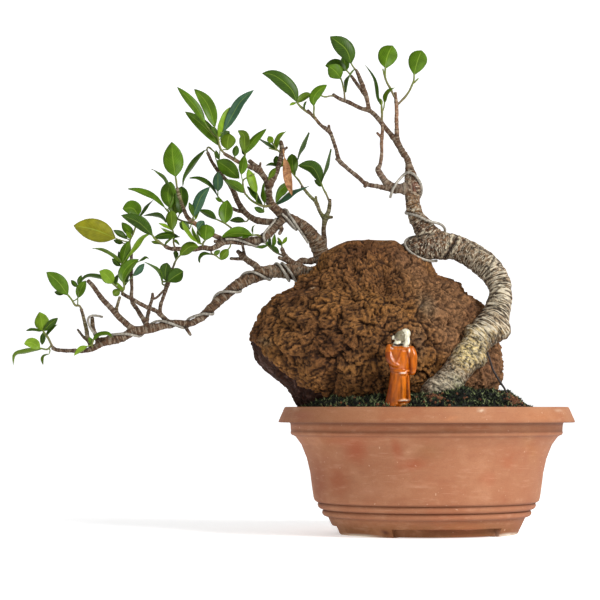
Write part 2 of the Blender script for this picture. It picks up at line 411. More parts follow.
         ("M", 13.5, -2, 0, -211.6, 411.6, -215.6, 427, -221.6, 439, -232.4, 450.4),
         ("M", 12.5, 4, 0, -208.2, 391.4, -213, 402, -221.6, 411.6, -232, 420.6, -241.6, 427.4),
         ("L", 9, 5, 0, -207, 401, -201, 416, -196, 432),
         ("T", 11, 9, 0, -203, 407, -193.4, 425, -185.6, 438, -172.6, 449.4),
         ("D", 9, 6, 0, -206, 400, -197, 408),
         ("o", 16, 1, 1, -202.6, 389.4, -198.6, 389, -198.6, 397, -196.8, 405.4),
         ("D", 5, -4, 0, -209, 402, -215, 413),
         ("D", 4, -6, 1, -206.4, 389, -207, 379, -210.6, 389))),
    "leaves_24_twig_middle": (
        ((0.9, 0.7, -191, 378.6, 17.8, -191.6, 382, 13),),
        (("D", 7, -3, 0, -191.6, 382.6, -189.6, 393.6),)),
    "leaves_25_twig_inner": (
        ((1, 0.8, -183, 374.5, 20, -182, 379, 19, -181, 385, 18),),
        (("M", 8.5, -4, 0, -180.4, 384.6, -176.4, 393.4, -169.4, 402, -159.6, 410.6),
         ("O", 11, -2, 0, -180.6, 387, -181.6, 396, -182.4, 404, -188.6, 408.4),
         ("D", 4, 4, 0, -182, 384, -184, 395))),
    "leaves_26_fork_right_top": (
        ((1.1, 0.8, -144.6, 386, 36.6, -149, 389, 31, -151, 391, 30),
         (0.9, 0.8, -150, 390, 30.6, -154, 396.6, 29),
         (0.9, 0.7, -148.6, 388.6, 31.6, -157, 390.6, 29)),
        (("D", 2.6, -4, 0, -151, 388.6, -160, 394, -169.6, 401.4),
         ("L", 7, 2, 0, -154, 396, -158, 402.6),
         ("L", 6, 3, 1, -149.6, 390.6, -149.4, 393, -147, 401, -140, 407.7))),
    "leaves_27_fork_right_low": (
        ((1, 0.8, -148, 371.6, 34.6, -148.6, 372, 40, -148, 373, 43),),
        (("D", 3, -2, 0, -150, 372.6, -155, 374, -160.7, 372.5),
         ("D", 8, 3, 0, -148, 373, -150, 383), ("D", 8, 4, 0, -146.6, 371.6, -141.6, 380))),
    "leaves_28_fork_crotch": (
        ((0.9, 0.7, -156.6, 357, 31, -157.6, 359.6, 25.6, -157.6, 361, 24.6),),
        (("O", 6, -2, 0, -157.6, 360, -150.6, 371),)),
    "leaves_29_pillar_left": (
        ((1.2, 0.8, -121.6, 349, 46, -127, 357.6, 46, -134, 366, 46),),
        (("m", 12, 3, 0, -132.4, 364, -133.4, 374, -134.4, 385),
         ("D", 2.4, -3, 1, -131, 364, -129, 376, -126, 390, -117, 406.6))),
    "leaves_30_pillar_right": (
        ((1.2, 0.8, -96.2, 336, 42, -98.6, 342, 42, -102, 348.6, 42, -105, 356, 42),),
        (("D", 13, -5, 0, -105, 357, -113, 371, -128, 373),
         ("D", 1.4, 4, 0, -103, 356, -100.6, 372, -95, 390),
         ("D", 4, 4, 0, -103.4, 352.6, -112, 359))),
    "leaves_31_upper_back": (
        ((1, 0.8, -150.6, 330, 35, -150, 333, 41, -150.4, 335, 43),),
        (("T", 7, -9, 0, -149.6, 334, -135, 346.6, -117, 352.6),
         ("M", 8, 4, 0, -151.6, 335, -147, 347, -134, 357.6))),
    "leaves_32_low_top_side": (
        ((1.1, 0.7, -141, 282, 39, -150, 285.6, 42, -154.5, 289, 43, -162, 296, 44),),
        (("D", 5, -3, 1, -147, 284.6, -149, 285.6, -156.6, 293.6),
         ("M", 4, 3, 0, -154, 290, -151.4, 304), ("D", 4, 5, 0, -155, 291, -156.4, 302),
         ("M", 3, -3, 0, -158.4, 292.6, -160.6, 299.6), ("M", 3, -3, 0, -158.6, 292, -174, 292))),
    "leaves_33_low_top_end": (
        ((1, 0.7, -143.6, 287.6, 38, -144.2, 292, 38, -144, 295, 38),),
        (("T", 4, 3, 0, -144.6, 293, -149, 297), ("L", 3.4, -3, 0, -143.6, 294, -139, 301.6),
         ("L", 3, 3, 0, -144, 295, -148.8, 301))),
    "leaves_34_bend_end": (
        ((1.3, 1, -115, 425, -14, -120.4, 428.4, -14, -125, 432, -14, -129, 437, -14),),
        (("D", 15, -4, 0, -128.6, 438, -134, 449, -144, 459, -154, 465, -164, 466.4),
         ("L", 3, -3, 0, -129.6, 438, -136.6, 434),
         ("O", 8, 4, 0, -127.6, 439, -120, 443.6, -113.6, 445),
         ("D", 2, -2, 0, -119.8, 430, -121, 434, -119.4, 438))),
    "leaves_35_bend_side": (
        ((1.1, 0.8, -110.6, 420.4, -14, -112, 425, -18, -112, 433, -20),),
        (("M", 10.5, -4, 0, -112.2, 432.6, -112.4, 441, -107.4, 448.6, -98.8, 454.8),)),
    "leaves_36_apex_end": (
        ((0.9, 0.7, -90, 443.2, 4.4, -95, 443.6, 2, -101, 442.4, 0, -107, 445, -2),),
        (("L", 6, -3, 0, -108, 446, -104, 453),)),
    "leaves_37_apex_rise": (
        ((1, 0.8, -81, 438.6, 5.6, -81.4, 446, 5, -83, 455, 4, -85, 461, 4),),
        (("M", 16, -4, 0, -85, 461.6, -90, 468, -97.6, 474),)),
    "leaves_38_twin_left_end": (
        ((1, 0.8, -73.6, 462.4, 11.8, -76, 466, 12, -79, 469, 12),),
        (("D", 12, -3, 0, -79, 469.6, -89, 475.4, -100.6, 474),
         ("D", 9, 5, 0, -79, 470, -82.6, 484))),
    "leaves_39_twin_end": (
        ((1.1, 0.8, -69, 468.6, 1.2, -71.4, 471.6, 1, -74.5, 476, 0),),
        (("D", 18, -4, 0, -74.5, 476, -80, 491, -95.6, 503.6),
         ("D", 2.4, -6, 0, -72, 469.6, -77, 461, -80, 447))),
    "leaves_40_thumb_top": (
        ((1.2, 0.9, -43.6, 415, -10, -43.6, 424, -10, -44, 433, -10, -44.4, 439, -10),
         (0.8, 0.7, -43.8, 427, -10, -41.6, 432, -9, -41, 437, -8)),
        (("D", 3, -4, 0, -46, 434, -48.8, 442, -52, 460, -60.6, 474.6),
         ("L", 4, 3, 0, -44.6, 434, -45.6, 441), ("O", 5, -4, 0, -41, 437, -38, 446, -31, 452))),
    "leaves_41_upright_left": (
        ((1.3, 0.9, -30, 441, -1, -35, 450.5, -2, -40, 461, -3, -40.2, 473, -3),
         (1, 0.7, -40, 460, -3, -42.6, 470.6, -3)),
        (("m", 20, 3, 0, -40, 472, -38, 484, -33, 494.6),)),
    "leaves_42_upright_right": (
        ((1.2, 0.8, -28.8, 434, -1, -19, 444, 0, -12.4, 456.6, 0, -11, 466, 0),
         (0.9, 0.7, -13, 455.6, 0, -7, 461, 1)),
        (("m", 19, -3, 0, -11.2, 465.4, -8, 478, -3.6, 489.6),)),
}

# Patches on the front of the bowl: x, height, half sizes, turn, colour, strength.
BOWL_STAINS = (
    (-70, 88, 14, 15, 0, "#984424", 0.65), (-29, 87, 6, 14, 15, "#9C4828", 0.6),
    (-15, 74, 17, 7, 5, "#9C4828", 0.65), (-89, 59, 14, 16, 0, "#964C2A", 0.6),
    (61, 59, 9, 10, 0, "#A05230", 0.45), (82, 75, 7, 7, 0, "#A05230", 0.4),
    (-86, 97, 22, 4, 0, "#9C5030", 0.4), (2, 86, 17, 11, 0, "#94643E", 0.5),
    (-58, 48, 20, 9, 0, "#B07A5C", 0.4), (-107, 53, 9, 34, 0, "#8E4E32", 0.6),
    (-100, 96, 12, 14, 0, "#99603A", 0.45), (23, 108, 12, 3, 0, "#87522F", 0.5),
    (23, 30, 14, 4, 0, "#8C5636", 0.4), (105, 90, 8, 20, 20, "#A8713F", 0.35),
    (-100, 18, 16, 9, 0, "#7E5128", 0.5), (40, 12, 26, 6, 0, "#9E6A3E", 0.5),
    (-124, 122, 16, 7, 0, "#A0624A", 0.65), (-29, 122, 20, 6, 0, "#AF7048", 0.5),
    (116, 122, 26, 7, 0, "#AE6E46", 0.65), (25, 119.5, 9, 2.2, 14, "#C58458", 0.6),
    (13, 8.4, 50, 1.1, 1, "#6B3216", 0.75), (-41, 6, 6, 2.4, -20, "#4A2010", 0.9),
    (66, 7.4, 7, 2.4, -30, "#5A2C14", 0.75), (-66, 2.4, 22, 2.2, -3, "#E4DAC8", 0.95),
    (82, 3.6, 14, 2.2, 6, "#E4DAC8", 0.95), (0, 54, 15, 1.4, 4, "#C48C6A", 0.5),
    (-18, 86, 4, 4, 0, "#BC8A68", 0.5), (-130, 129, 5, 1.6, 0, "#D2B093", 0.7),
    (55, 127.5, 5, 1.4, -20, "#E2CDB2", 0.7), (132, 127, 4, 1.4, 0, "#DDC4A8", 0.6),
)

# Cracks and holes on the front of the rock: width, depth, darkness, then x and height
# of each point.
ROCK_CRACKS = (
    (2.2, 2.4, 0.8, 17, 253, 19, 249, 22, 243),
    (2.4, 2.6, 0.85, -2, 236, -8, 229, -9, 222, -4, 214, 0, 207, 3, 199),
    (2.2, 2.4, 0.8, 3, 199, -4, 193), (2.2, 2.2, 0.7, 3, 199, 9, 193, 12, 186),
    (2, 1.6, 0.6, 3, 199, 8, 203), (3.4, 3, 0.85, 66, 153, 67, 154),
    (4, 1.2, 0.6, 50, 215, 56, 222, 60, 231), (2, 1.6, 0.5, -86, 262, -78, 254, -74, 246),
    (2.2, 1.8, 0.6, -140, 222, -128, 216, -118, 219),
    (2.2, 1.8, 0.6, -109, 208, -98, 200, -90, 189, -84, 182),
    (2.2, 1.6, 0.55, -63, 232, -58, 221, -60, 210),
    (3, 2.2, 0.6, -152, 196, -146, 184, -140, 173, -130, 166),
    (3, 1.8, 0.6, -52, 178, -47, 168, -45, 158), (2, 1.4, 0.5, -30, 262, -24, 252, -21, 240),
    (2.4, 1.4, 0.5, 18, 172, 24, 163, 28, 152),
)

# Patches on the front of the rock: x, height, half sizes, turn, colour, strength.
ROCK_STAINS = (
    (-114, 251, 2.2, 1.6, 20, "#A08A70", 0.8), (-66, 258, 1.8, 1.1, 10, "#8F7A60", 0.7),
    (-51, 263, 1.6, 1.1, -20, "#8F7A60", 0.7), (-60, 288, 48, 16, 0, "#4A2C19", 0.6),
    (-134, 238, 14, 9, 30, "#4C2E1C", 0.4), (-96, 228, 22, 16, 20, "#85592C", 0.4),
    (-4, 232.5, 0.9, 4, -40, "#B5A48C", 0.8), (-160, 196, 8, 6, 0, "#6E6048", 0.5),
    (20, 215, 26, 22, 30, "#85603F", 0.4), (62, 172, 14, 18, 0, "#6A4632", 0.4),
    (-72, 158, 30, 10, 0, "#4A3020", 0.45), (44, 226, 8, 16, -30, "#4C2C1C", 0.5),
    (-28, 212, 16, 22, 10, "#7C5632", 0.35), (12, 150, 16, 12, 0, "#5C4836", 0.5),
    (0, 232, 10, 16, 20, "#6E6450", 0.5), (-8, 196, 9, 22, 0, "#6A5A48", 0.4),
)

# Grooves on the front of the trunk: width, depth, darkness, pale edge, then x and height
# of each point.
BARK_GROOVES = (
    (3, 1.9, 0.95, 0.8, 31, 303, 29, 296, 24, 288, 19, 279),
    (1.6, 0.9, 0.7, 0.8, 60, 262, 63, 270, 69, 281),
    (1.5, 0.9, 0.7, 0.7, 65, 240, 69, 246, 75, 252),
    (1.4, 0.7, 0.6, 0.7, 47, 296, 51, 291, 58, 289, 66, 284),
    (2.2, 1.4, 0.9, 0.1, 50, 173, 52, 168), (2, 1.2, 0.8, 0.1, 60, 182, 61, 178),
    (3, 2.4, 1, 0.2, 54.4, 189.4, 56.2, 192.2), (1.6, 1, 0.9, 0.3, -22, 358, -16, 352, -7, 345),
    (1.6, 0.8, 0.7, 0.4, -9, 300, -2, 304, 6, 303),
    (1.1, 0.5, 0.35, 0.2, 44, 196, 47, 186, 52, 178),
)

# Patches on the wood in the front view: x, height, half sizes, turn, colour, strength.
BARK_PATCHES = (
    (14, 146, 24, 18, 0, "#8F8672", 0.85), (33, 153, 7, 13, 30, "#647346", 0.75),
    (24, 160, 12, 16, -30, "#B4A88C", 0.6), (44, 186, 17, 21, -30, "#E0C888", 0.95),
    (58, 206, 14, 14, 0, "#BBA878", 0.7), (72, 208, 12, 10, 0, "#B79F72", 0.5),
    (70, 232, 16, 22, 0, "#A29276", 0.9), (74, 250, 14, 16, 0, "#9A8A6E", 0.8),
    (62, 270, 18, 14, -40, "#8E7C62", 0.7), (44, 284, 20, 14, -20, "#7A664E", 0.75),
    (28, 292, 12, 13, 0, "#6A4C33", 0.75), (4, 292, 16, 14, 0, "#5E3B24", 0.85),
    (-14, 288, 12, 9, 20, "#4E3D30", 0.85), (-6, 307, 12, 12, 0, "#50301E", 0.9),
    (-12, 330, 8, 14, 0, "#86643F", 0.7), (-11, 352, 5, 7, 0, "#6A3528", 0.8),
    (-24, 352, 12, 6, 0, "#6E625A", 0.5), (-42, 366, 8, 14, 0, "#8A7466", 0.4),
    (-29, 425, 7, 22, 0, "#A97B5C", 0.7), (-44, 395, 7, 25, 0, "#9C7256", 0.5),
    (-62, 440, 12, 22, 0, "#8D6C52", 0.5), (-114, 420, 12, 12, 0, "#8B7350", 0.5),
    (-225, 312, 24, 14, 0, "#B08257", 0.7), (-246, 342, 9, 14, 0, "#7C7C44", 0.5),
    (-150, 318, 12, 10, 0, "#4C3B2F", 0.55), (-101, 325, 9, 16, 0, "#6E7F3F", 0.5),
    (-116, 342, 12, 12, 0, "#7A8A44", 0.6), (-340, 212, 7, 18, 0, "#6F6D42", 0.5),
    (-308, 236, 6, 10, 0, "#6F6D42", 0.5), (-192, 378, 14, 9, 0, "#8F7350", 0.5),
)

# Outline of a leaf from stalk to tip: place along it and share of the half width.
LEAF_SHAPE = (
    (0, 0.05), (0.05, 0.24), (0.12, 0.5), (0.2, 0.73), (0.32, 0.92), (0.46, 1), (0.6, 0.96),
    (0.74, 0.79), (0.86, 0.52), (0.94, 0.27), (1, 0.03),
)

# The same for a leaf with a blunt tip.
BLUNT_SHAPE = (
    (0, 0.05), (0.08, 0.28), (0.2, 0.58), (0.34, 0.82), (0.5, 0.96), (0.64, 1), (0.78, 0.9),
    (0.88, 0.68), (0.95, 0.42), (1, 0.06),
)

# Robe of the figurine, level by level: height, left and right limits, half depth.
ROBE_RINGS = (
    (129.9, -41.2, -14.2, 9.2), (133, -41.6, -14.2, 9.6), (138, -41, -15.4, 9.5),
    (146, -38.8, -16, 9.2), (155, -37.4, -16.2, 9), (163, -36.2, -16, 8.9), (168, -36, -16, 8.7),
    (173, -37.4, -16.2, 9.2), (180, -38.8, -15.6, 9.4), (186, -39.2, -14.4, 8.8),
    (190, -38, -15, 7), (192.6, -33, -18.6, 4.6),
)

# Round parts of the figurine: x, height, depth from its middle, half sizes, lean, turn.
FIGURE_BALLS = (
    (-25.6, 200.8, -1.2, 5.6, 6.6, 6.8, 0, 30), (-25, 194.6, 1.4, 5.4, 4.4, 5, 0, 0),
    (-20.4, 204.4, 1.4, 5, 6.4, 4.9, 0, 30), (-32.9, 200.3, -1.6, 1.3, 1.6, 2.3, 0, 8),
    (-30, 194.4, -5.4, 2.6, 2.4, 2.2, 0, 24), (-31.4, 193, -5.2, 1.2, 1.4, 1.8, 0, 0),
    (-27.2, 195.2, -6, 2, 1.8, 1.3, 0, -14), (-29.8, 199, -6.2, 1.2, 1.3, 1.8, 0, 30),
    (-36.6, 189.2, -1, 3.6, 4.6, 4.8, 0, 0), (-22.6, 164.4, -8.8, 3.6, 2.2, 1.9, 0, -8),
    (-19, 132.2, -9, 4.6, 4.4, 2.4, 0, 0), (-33.6, 131.8, -8.6, 4.2, 3.6, 2, 0, 0),
)

# Sleeves and folds of the figurine: x, height, depth from its middle and radius of each
# point in turn.
FIGURE_BARS = (
    (-15.4, 188.6, -0.6, 4.1, -13.4, 184, -1.6, 4.2, -12.9, 177, -3, 4, -13, 170, -4, 3.6, -13.8,
     165.2, -5, 3),
    (-37, 187, -3, 3.7, -36.4, 180, -5.8, 3.8, -33, 174.6, -7.4, 3.2, -28, 172.4, -8.2, 2.2),
    (-35, 167.2, -3.2, 1.2, -30, 166.8, -8, 1.2, -24, 166.6, -8.8, 1.2, -18, 167, -7.2, 1.2, -16.4,
     167.4, -2, 1.2),
    (-18.4, 201.6, -3.6, 2, -18.6, 198, -4.6, 2.6, -19.4, 194.6, -5.4, 2.9, -20.8, 192.8, -6, 2),
    (-33, 190, -5.6, 1.4, -29, 189.6, -7.4, 1.2, -24, 189.4, -7.6, 1.2, -19, 189.8, -6.6, 1.4),
    (-24.4, 187.6, -7.8, 0.9, -26.8, 181, -8.9, 1, -29.4, 175.4, -9, 0.8),
    (-23.8, 161, -8.6, 1, -23.4, 150, -9.3, 1.2, -23.6, 140, -9.8, 1.3),
    (-17.8, 162, -7.2, 1, -17.4, 150, -7.8, 1.2, -16.8, 138, -8.2, 1.4),
    (-41, 134.4, -3, 1.4, -36.4, 132.6, -7.6, 1.6, -29.6, 133.8, -9.6, 1.6),
    (-27, 136.2, -10, 1.3, -22, 138.2, -9.8, 1.5, -15.8, 134.8, -5, 1.4),
)

# Line where the figurine's robe ends below its head and beard: x and height.
FIGURE_COLLAR = (
    (-34.4, 195.6), (-33.6, 191.6), (-27, 191.4), (-24, 192), (-22, 190.8), (-17, 190.8),
    (-15.6, 194.4),
)

# Glints on the glaze of the figurine: x, height, half sizes.
FIGURE_GLINTS = (
    (-23, 165, 3.4, 0.8), (-33.8, 189.4, 1.3, 0.8), (-16.6, 187.5, 0.8, 2.2), (-22, 137.6, 5, 0.8),
)


def linear(code):
    """Linear colour of an sRGB hex code."""
    parts = [int(code[i:i + 2], 16) / 255 for i in (1, 3, 5)]
    return tuple(c / 12.92 if c <= 0.04045 else ((c + 0.055) / 1.055) ** 2.4
                 for c in parts) + (1.0,)


def place(x, z, y=0.0):
    """Point of the front view pushed back along the line of sight to depth y."""
    k = 1.0 + y / SIGHT_DISTANCE
    return Vector((SIGHT_X + (x - SIGHT_X) * k, y, SIGHT_Z + (z - SIGHT_Z) * k))


def seen(points):
    """Front view places of many points, as x and height."""
    k = 1.0 + points[:, 1] / SIGHT_DISTANCE
    return np.stack([SIGHT_X + (points[:, 0] - SIGHT_X) / k,
                     SIGHT_Z + (points[:, 2] - SIGHT_Z) / k], 1)


def grouped(values, size):
    """Rows of a size from values that follow one another."""
    return list(zip(*[iter(values)] * size))


def on_curve(knots, t):
    """Values on the smooth curve through four rows, between the middle two."""
    return [0.5 * (2 * q + (r - p) * t + (2 * p - 5 * q + 4 * r - s) * t * t
                   + (3 * q - p - 3 * r + s) * t ** 3) for p, q, r, s in zip(*knots)]


def smooth_path(points, step):
    """Rounded path through points of any width, one sample about every step."""
    rows = [list(p) for p in points]
    rows = [rows[0]] + rows + [rows[-1]]
    out = []
    for knots in zip(rows, rows[1:], rows[2:], rows[3:]):
        count = max(1, round(math.dist(knots[1][:3], knots[2][:3]) / step))
        out += [on_curve(knots, i / count) for i in range(count)]
    return np.array(out + [rows[-1]])


def run_of(path):
    """Length along a path up to each of its points."""
    return np.concatenate([[0.0], np.cumsum(np.linalg.norm(np.diff(path, axis=0), axis=1))])


def round_angles(count):
    """Angles of even steps round a full turn."""
    return 2 * np.pi * np.arange(count) / count


def speckle(points, size, seed=0.0):
    """Smooth noise from -1 to 1 at each point, for lumps of a size."""
    shift = Vector((seed, 2.3 * seed, -1.7 * seed))
    return np.array([noise.noise(Vector(p) / size + shift) for p in points])


def flakes(points, size, seed):
    """Scattered seeds as flakes: distance to the nearest, gap to the next, tilt and step."""
    shift = Vector((seed, -1.9 * seed, 3.1 * seed))
    out = np.empty((len(points), 4))
    for i, p in enumerate(points):
        spot = Vector(p) / size + shift
        far, near = noise.voronoi(spot)
        cell = near[0] * 7.31
        lean = Vector([noise.noise(cell + Vector((9.3, -1.5, -7.9)) * k) for k in (1, 2, 3)])
        out[i] = far[0], far[1] - far[0], (spot - near[0]).dot(lean) * size, lean.y * size
    return out.T


def share(values):
    """Values held between 0 and 1."""
    return np.clip(values, 0.0, 1.0)


def falloff(distance, width):
    """1 at no distance, fading to 0 past the width."""
    t = share(1.0 - np.abs(distance) / width)
    return t * t * (3.0 - 2.0 * t)


def oval(x, z, wide, tall, reach):
    """1 in the middle of an oval, fading to 0 past the reach times its half sizes."""
    return falloff(np.hypot(x / wide, z / tall), reach)


def bar_distance(points, rows):
    """Distance from points to a bar's surface, below zero inside, and its radius there."""
    best = np.full(len(points), 1e9)
    thick = np.zeros(len(points))
    wide = points.shape[1]
    for a, b in zip(rows, rows[1:]):
        ab = b[:wide] - a[:wide]
        t = share(((points - a[:wide]) @ ab) / max(ab @ ab, 1e-9))
        r = a[wide] + (b[wide] - a[wide]) * t
        d = np.linalg.norm(points - a[:wide] - t[:, None] * ab, axis=1) - r
        near = d < best
        best = np.where(near, d, best)
        thick = np.where(near, r, thick)
    return best, thick


def line_distance(flat, line):
    """Distance from flat points to a line given as x and height of its points in turn."""
    return bar_distance(flat, np.array([(*p, 0.0) for p in grouped(line, 2)]))[0]


def coat(colour, count):
    """The same colour for a number of corners."""
    return np.tile(np.array(colour[:]), (count, 1))


def blend(colours, colour, weight):
    """Blend colours towards a hex code or a setting, by a weight for each."""
    goal = linear(colour) if isinstance(colour, str) else colour
    colours[:, :3] += (np.array(goal[:3]) - colours[:, :3]) * weight[:, None]


def stain(colours, flat, patches, mask=1.0):
    """Lay soft oval patches over colours: x, height, half sizes, turn, hex code, strength."""
    for x, z, wide, tall, turn, code, strength in patches:
        c = math.cos(math.radians(turn))
        s = math.sin(math.radians(turn))
        dx = flat[:, 0] - x
        dz = flat[:, 1] - z
        u = (dx * c + dz * s) / wide
        v = (-dx * s + dz * c) / tall
        blend(colours, code, falloff(np.sqrt(u * u + v * v), 1.35) * strength * mask)


def grid_faces(rows, sides):
    """Quads joining rings of corners, each ring closed."""
    r = np.arange(rows - 1)[:, None] * sides
    c = np.arange(sides)[None, :]
    n = (c + 1) % sides
    quads = np.stack([r + c, r + n, r + sides + n, r + sides + c], 2)
    return quads.reshape(-1, 4)


def capped_faces(rows, sides):
    """Quads joining rings of corners, and a face with many sides at each end."""
    last = (rows - 1) * sides
    return grid_faces(rows, sides).tolist() + [
        tuple(range(sides - 1, -1, -1)), tuple(range(last, last + sides))]


def from_mm(points):
    """Places in metres above the floor from places in mm of the tables."""
    return (np.asarray(points, float) - (0.0, 0.0, FOOT)) * MM


def corners_of(obj):
    """Corners of a piece in mm, at the heights of the tables."""
    where = np.empty(len(obj.data.vertices) * 3, np.float32)
    obj.data.vertices.foreach_get("co", where)
    return where.reshape(-1, 3).astype(float) / MM + (0.0, 0.0, FOOT)


def mark(mesh, layers):
    """Store numbers or colours on the corners of a mesh."""
    for label, values in layers.items():
        values = np.asarray(values, float)
        kind, field = ("FLOAT", "value") if values.ndim == 1 else ("FLOAT_COLOR", "color")
        layer = mesh.attributes.new(label, kind, "POINT")
        layer.data.foreach_set(field, values.reshape(-1))


def linked(name, data):
    """New object of the scene."""
    obj = bpy.data.objects.new(name, data)
    bpy.context.scene.collection.objects.link(obj)
    return obj


def make_mesh(name, verts, faces, mats=(), layers=(), maps=(), slots=()):
    """Smooth object from corners in mm and faces, with its layers, pattern map and materials."""
    mesh = bpy.data.meshes.new(name)
    mesh.from_pydata(from_mm(verts).tolist(), [], faces)
    for mat in mats:
        mesh.materials.append(mat)
    mesh.polygons.foreach_set("use_smooth", [True] * len(mesh.polygons))
    if any(slots):
        mesh.polygons.foreach_set("material_index", slots)
    mark(mesh, dict(layers))
    if maps:
        layer = mesh.uv_layers.new(name="pattern")
        layer.data.foreach_set("uv", np.asarray(maps, float).reshape(-1))
    mesh.update()
    return linked(name, mesh)


def make_solid(*args, **kwargs):
    """Closed mesh object: its end faces are split and every face looks outward."""
    obj = make_mesh(*args, **kwargs)
    bm = bmesh.new()
    bm.from_mesh(obj.data)
    bmesh.ops.triangulate(bm, faces=[f for f in bm.faces if len(f.verts) > 4])
    bmesh.ops.recalc_face_normals(bm, faces=bm.faces)
    bm.to_mesh(obj.data)
    bm.free()
    return obj


def baked(obj):
    """Turn an object and its modifiers into a plain mesh object of the same name."""
    graph = bpy.context.evaluated_depsgraph_get()
    mesh = bpy.data.meshes.new_from_object(
        obj.evaluated_get(graph), preserve_all_data_layers=True, depsgraph=graph)
    mesh.name = name = obj.name
    bpy.data.objects.remove(obj)
    return linked(name, mesh)


def soften_by_angle(obj, degrees):
    """Smooth shading with hard edges where faces meet past an angle."""
    mesh = obj.data
    mesh.polygons.foreach_set("use_smooth", [True] * len(mesh.polygons))
    bm = bmesh.new()
    bm.from_mesh(mesh)
    limit = math.radians(degrees)
    for edge in bm.edges:
        edge.smooth = len(edge.link_faces) == 2 and edge.calc_face_angle(0.0) < limit
    bm.to_mesh(mesh)
    bm.free()


def dress(obj, slot_name, *nodes):
    """Tie a finished piece to the one body, its finish and the plain solids it stands for."""
    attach(obj, "root")
    if nodes:
        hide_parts(*nodes)


def around(path):
    """Headings and two square directions along a path, turning as little as they can."""
    n = len(path)
    heading = np.zeros((n, 3))
    heading[1:-1] = path[2:] - path[:-2]
    heading[0] = path[1] - path[0]
    heading[-1] = path[-1] - path[-2]
    heading /= np.maximum(np.linalg.norm(heading, axis=1), 1e-9)[:, None]
    first = np.zeros((n, 3))
    start = np.cross(heading[0], (0.0, 1.0, 0.0))
    if np.linalg.norm(start) < 0.05:
        start = np.cross(heading[0], (1.0, 0.0, 0.0))
    first[0] = start / np.linalg.norm(start)
    for i in range(1, n):
        f = first[i - 1] - heading[i] * (first[i - 1] @ heading[i])
        first[i] = f / max(np.linalg.norm(f), 1e-9)
    return heading, first, np.cross(heading, first)


def domed(rows):
    """Path of points and radii with round ends added."""
    rows = np.asarray(rows, float)
    ends = []
    for tip, inner in ((rows[0], rows[1]), (rows[-1], rows[-2])):
        out = tip[:3] - inner[:3]
        out /= max(np.linalg.norm(out), 1e-9)
        ends.append([[*(tip[:3] + out * tip[3] * math.sin(turn) * 0.8), tip[3] * math.cos(turn)]
                     for turn in (0.6, 1.05, 1.4)])
    return np.vstack([ends[0][::-1], rows, ends[1]])


class Bar:
    """Round bar through points and radii in mm: corners, outward headings, pattern map."""

    def __init__(self, rows, sides):
        rows = domed(rows)
        path = rows[:, :3]
        radii = rows[:, 3]
        _, first, second = around(path)
        angle = round_angles(sides)
        out = (np.cos(angle)[None, :, None] * first[:, None, :]
               + np.sin(angle)[None, :, None] * second[:, None, :])
        self.sides = sides
        self.count = len(path)
        self.radii = radii
        self.normals = out.reshape(-1, 3)
        self.verts = (path[:, None, :] + radii[:, None, None] * out).reshape(-1, 3)
        self.ends = np.array([path[0], path[-1]])
        self.along = run_of(path)
        self.angle = np.tile(angle, self.count)
        self.reach = np.repeat(self.along, sides)
        self.thick = np.repeat(radii, sides)

    def skin(self):
        """Corners with the two end points last, faces, and the map of their corners in metres."""
        quads = grid_faces(self.count, self.sides)
        wide = 2 * np.pi * float(np.median(self.radii))
        turn = quads % self.sides / self.sides
        turn[:, 1:3] = (quads[:, :1] % self.sides + 1) / self.sides
        maps = np.stack([turn * wide, self.along[quads // self.sides]], 2) * MM
        faces = quads[:, ::-1].tolist()
        maps = maps[:, ::-1].reshape(-1, 2).tolist()
        low = self.count * self.sides
        last = low - self.sides
        for c in range(self.sides):
            d = (c + 1) % self.sides
            faces += [[low, c, d], [low + 1, last + d, last + c]]
            maps += [[0.0, 0.0]] * 3 + [[0.0, self.along[-1] * MM]] * 3
        return np.vstack([self.verts, self.ends]), faces, maps


class Parts:
    """Corners, faces, pattern map, layers and material numbers of the parts of one piece."""

    def __init__(self):
        self.count = 0
        self.verts = []
        self.faces = []
        self.maps = []
        self.slots = []
        self.layers = {}

    def take(self, skin, slot=0, **layers):
        """Add a part; a layer that is short of its two end points is stretched to them."""
        verts, faces, maps = skin
        self.verts.append(verts)
        self.faces += [[corner + self.count for corner in face] for face in faces]
        self.maps += maps
        self.slots += [slot] * len(faces)
        self.count += len(verts)
        for name, values in layers.items():
            if len(values) < len(verts):
                values = np.concatenate([values, values[:1], values[-1:]])
            self.layers.setdefault(name, []).append(values)

    def joined(self, name, *mats):
        """One object of all the parts."""
        layers = {label: np.concatenate(values) for label, values in self.layers.items()}
        return make_mesh(name, np.vstack(self.verts), self.faces, mats, layers, self.maps,
                         self.slots)


def colour(label, text, code):
    """Colour setting in linear light."""
    return FloatVectorProperty(name=label, description=text, subtype="COLOR", size=4,
                               min=0.0, max=1.0, default=linear(code))


def distance(label, text, value):
    """Length setting in metres."""
    return FloatProperty(name=label, description=text, subtype="DISTANCE", unit="LENGTH",
                         min=0.0, default=value)


class BonsaiBowlSettings(bpy.types.PropertyGroup):
    """Sizes and colours of the bowl"""
    body: colour("Body", "Colour of the fired clay wall", "#A36C4C")
    rim: colour("Rim", "Colour of the lighter rim", "#AA7350")
    blush: colour("Blush", "Redder patches from the kiln", "#9A5636")
    foot: colour("Foot", "Ochre tint near the foot", "#74481C")
    steps: IntProperty(name="Steps round", description="Flat steps round the bowl",
                       min=24, max=360, default=300)


class BonsaiRockSettings(bpy.types.PropertyGroup):
    """Sizes and colours of the rock"""
    stone: colour("Stone", "Main brown of the rock", "#6C4827")
    hollow: colour("Hollows", "Dark crevices", "#24120A")
    clump: distance("Clump", "Spacing of the big clumps", 0.024)
    relief: distance("Relief", "Height of the big clumps", 0.0058)
    columns: IntProperty(name="Columns", description="Flat steps round the rock",
                         min=24, max=900, default=440)
    rings: IntProperty(name="Rings", description="Flat steps from the foot to the top",
                       min=24, max=400, default=200)


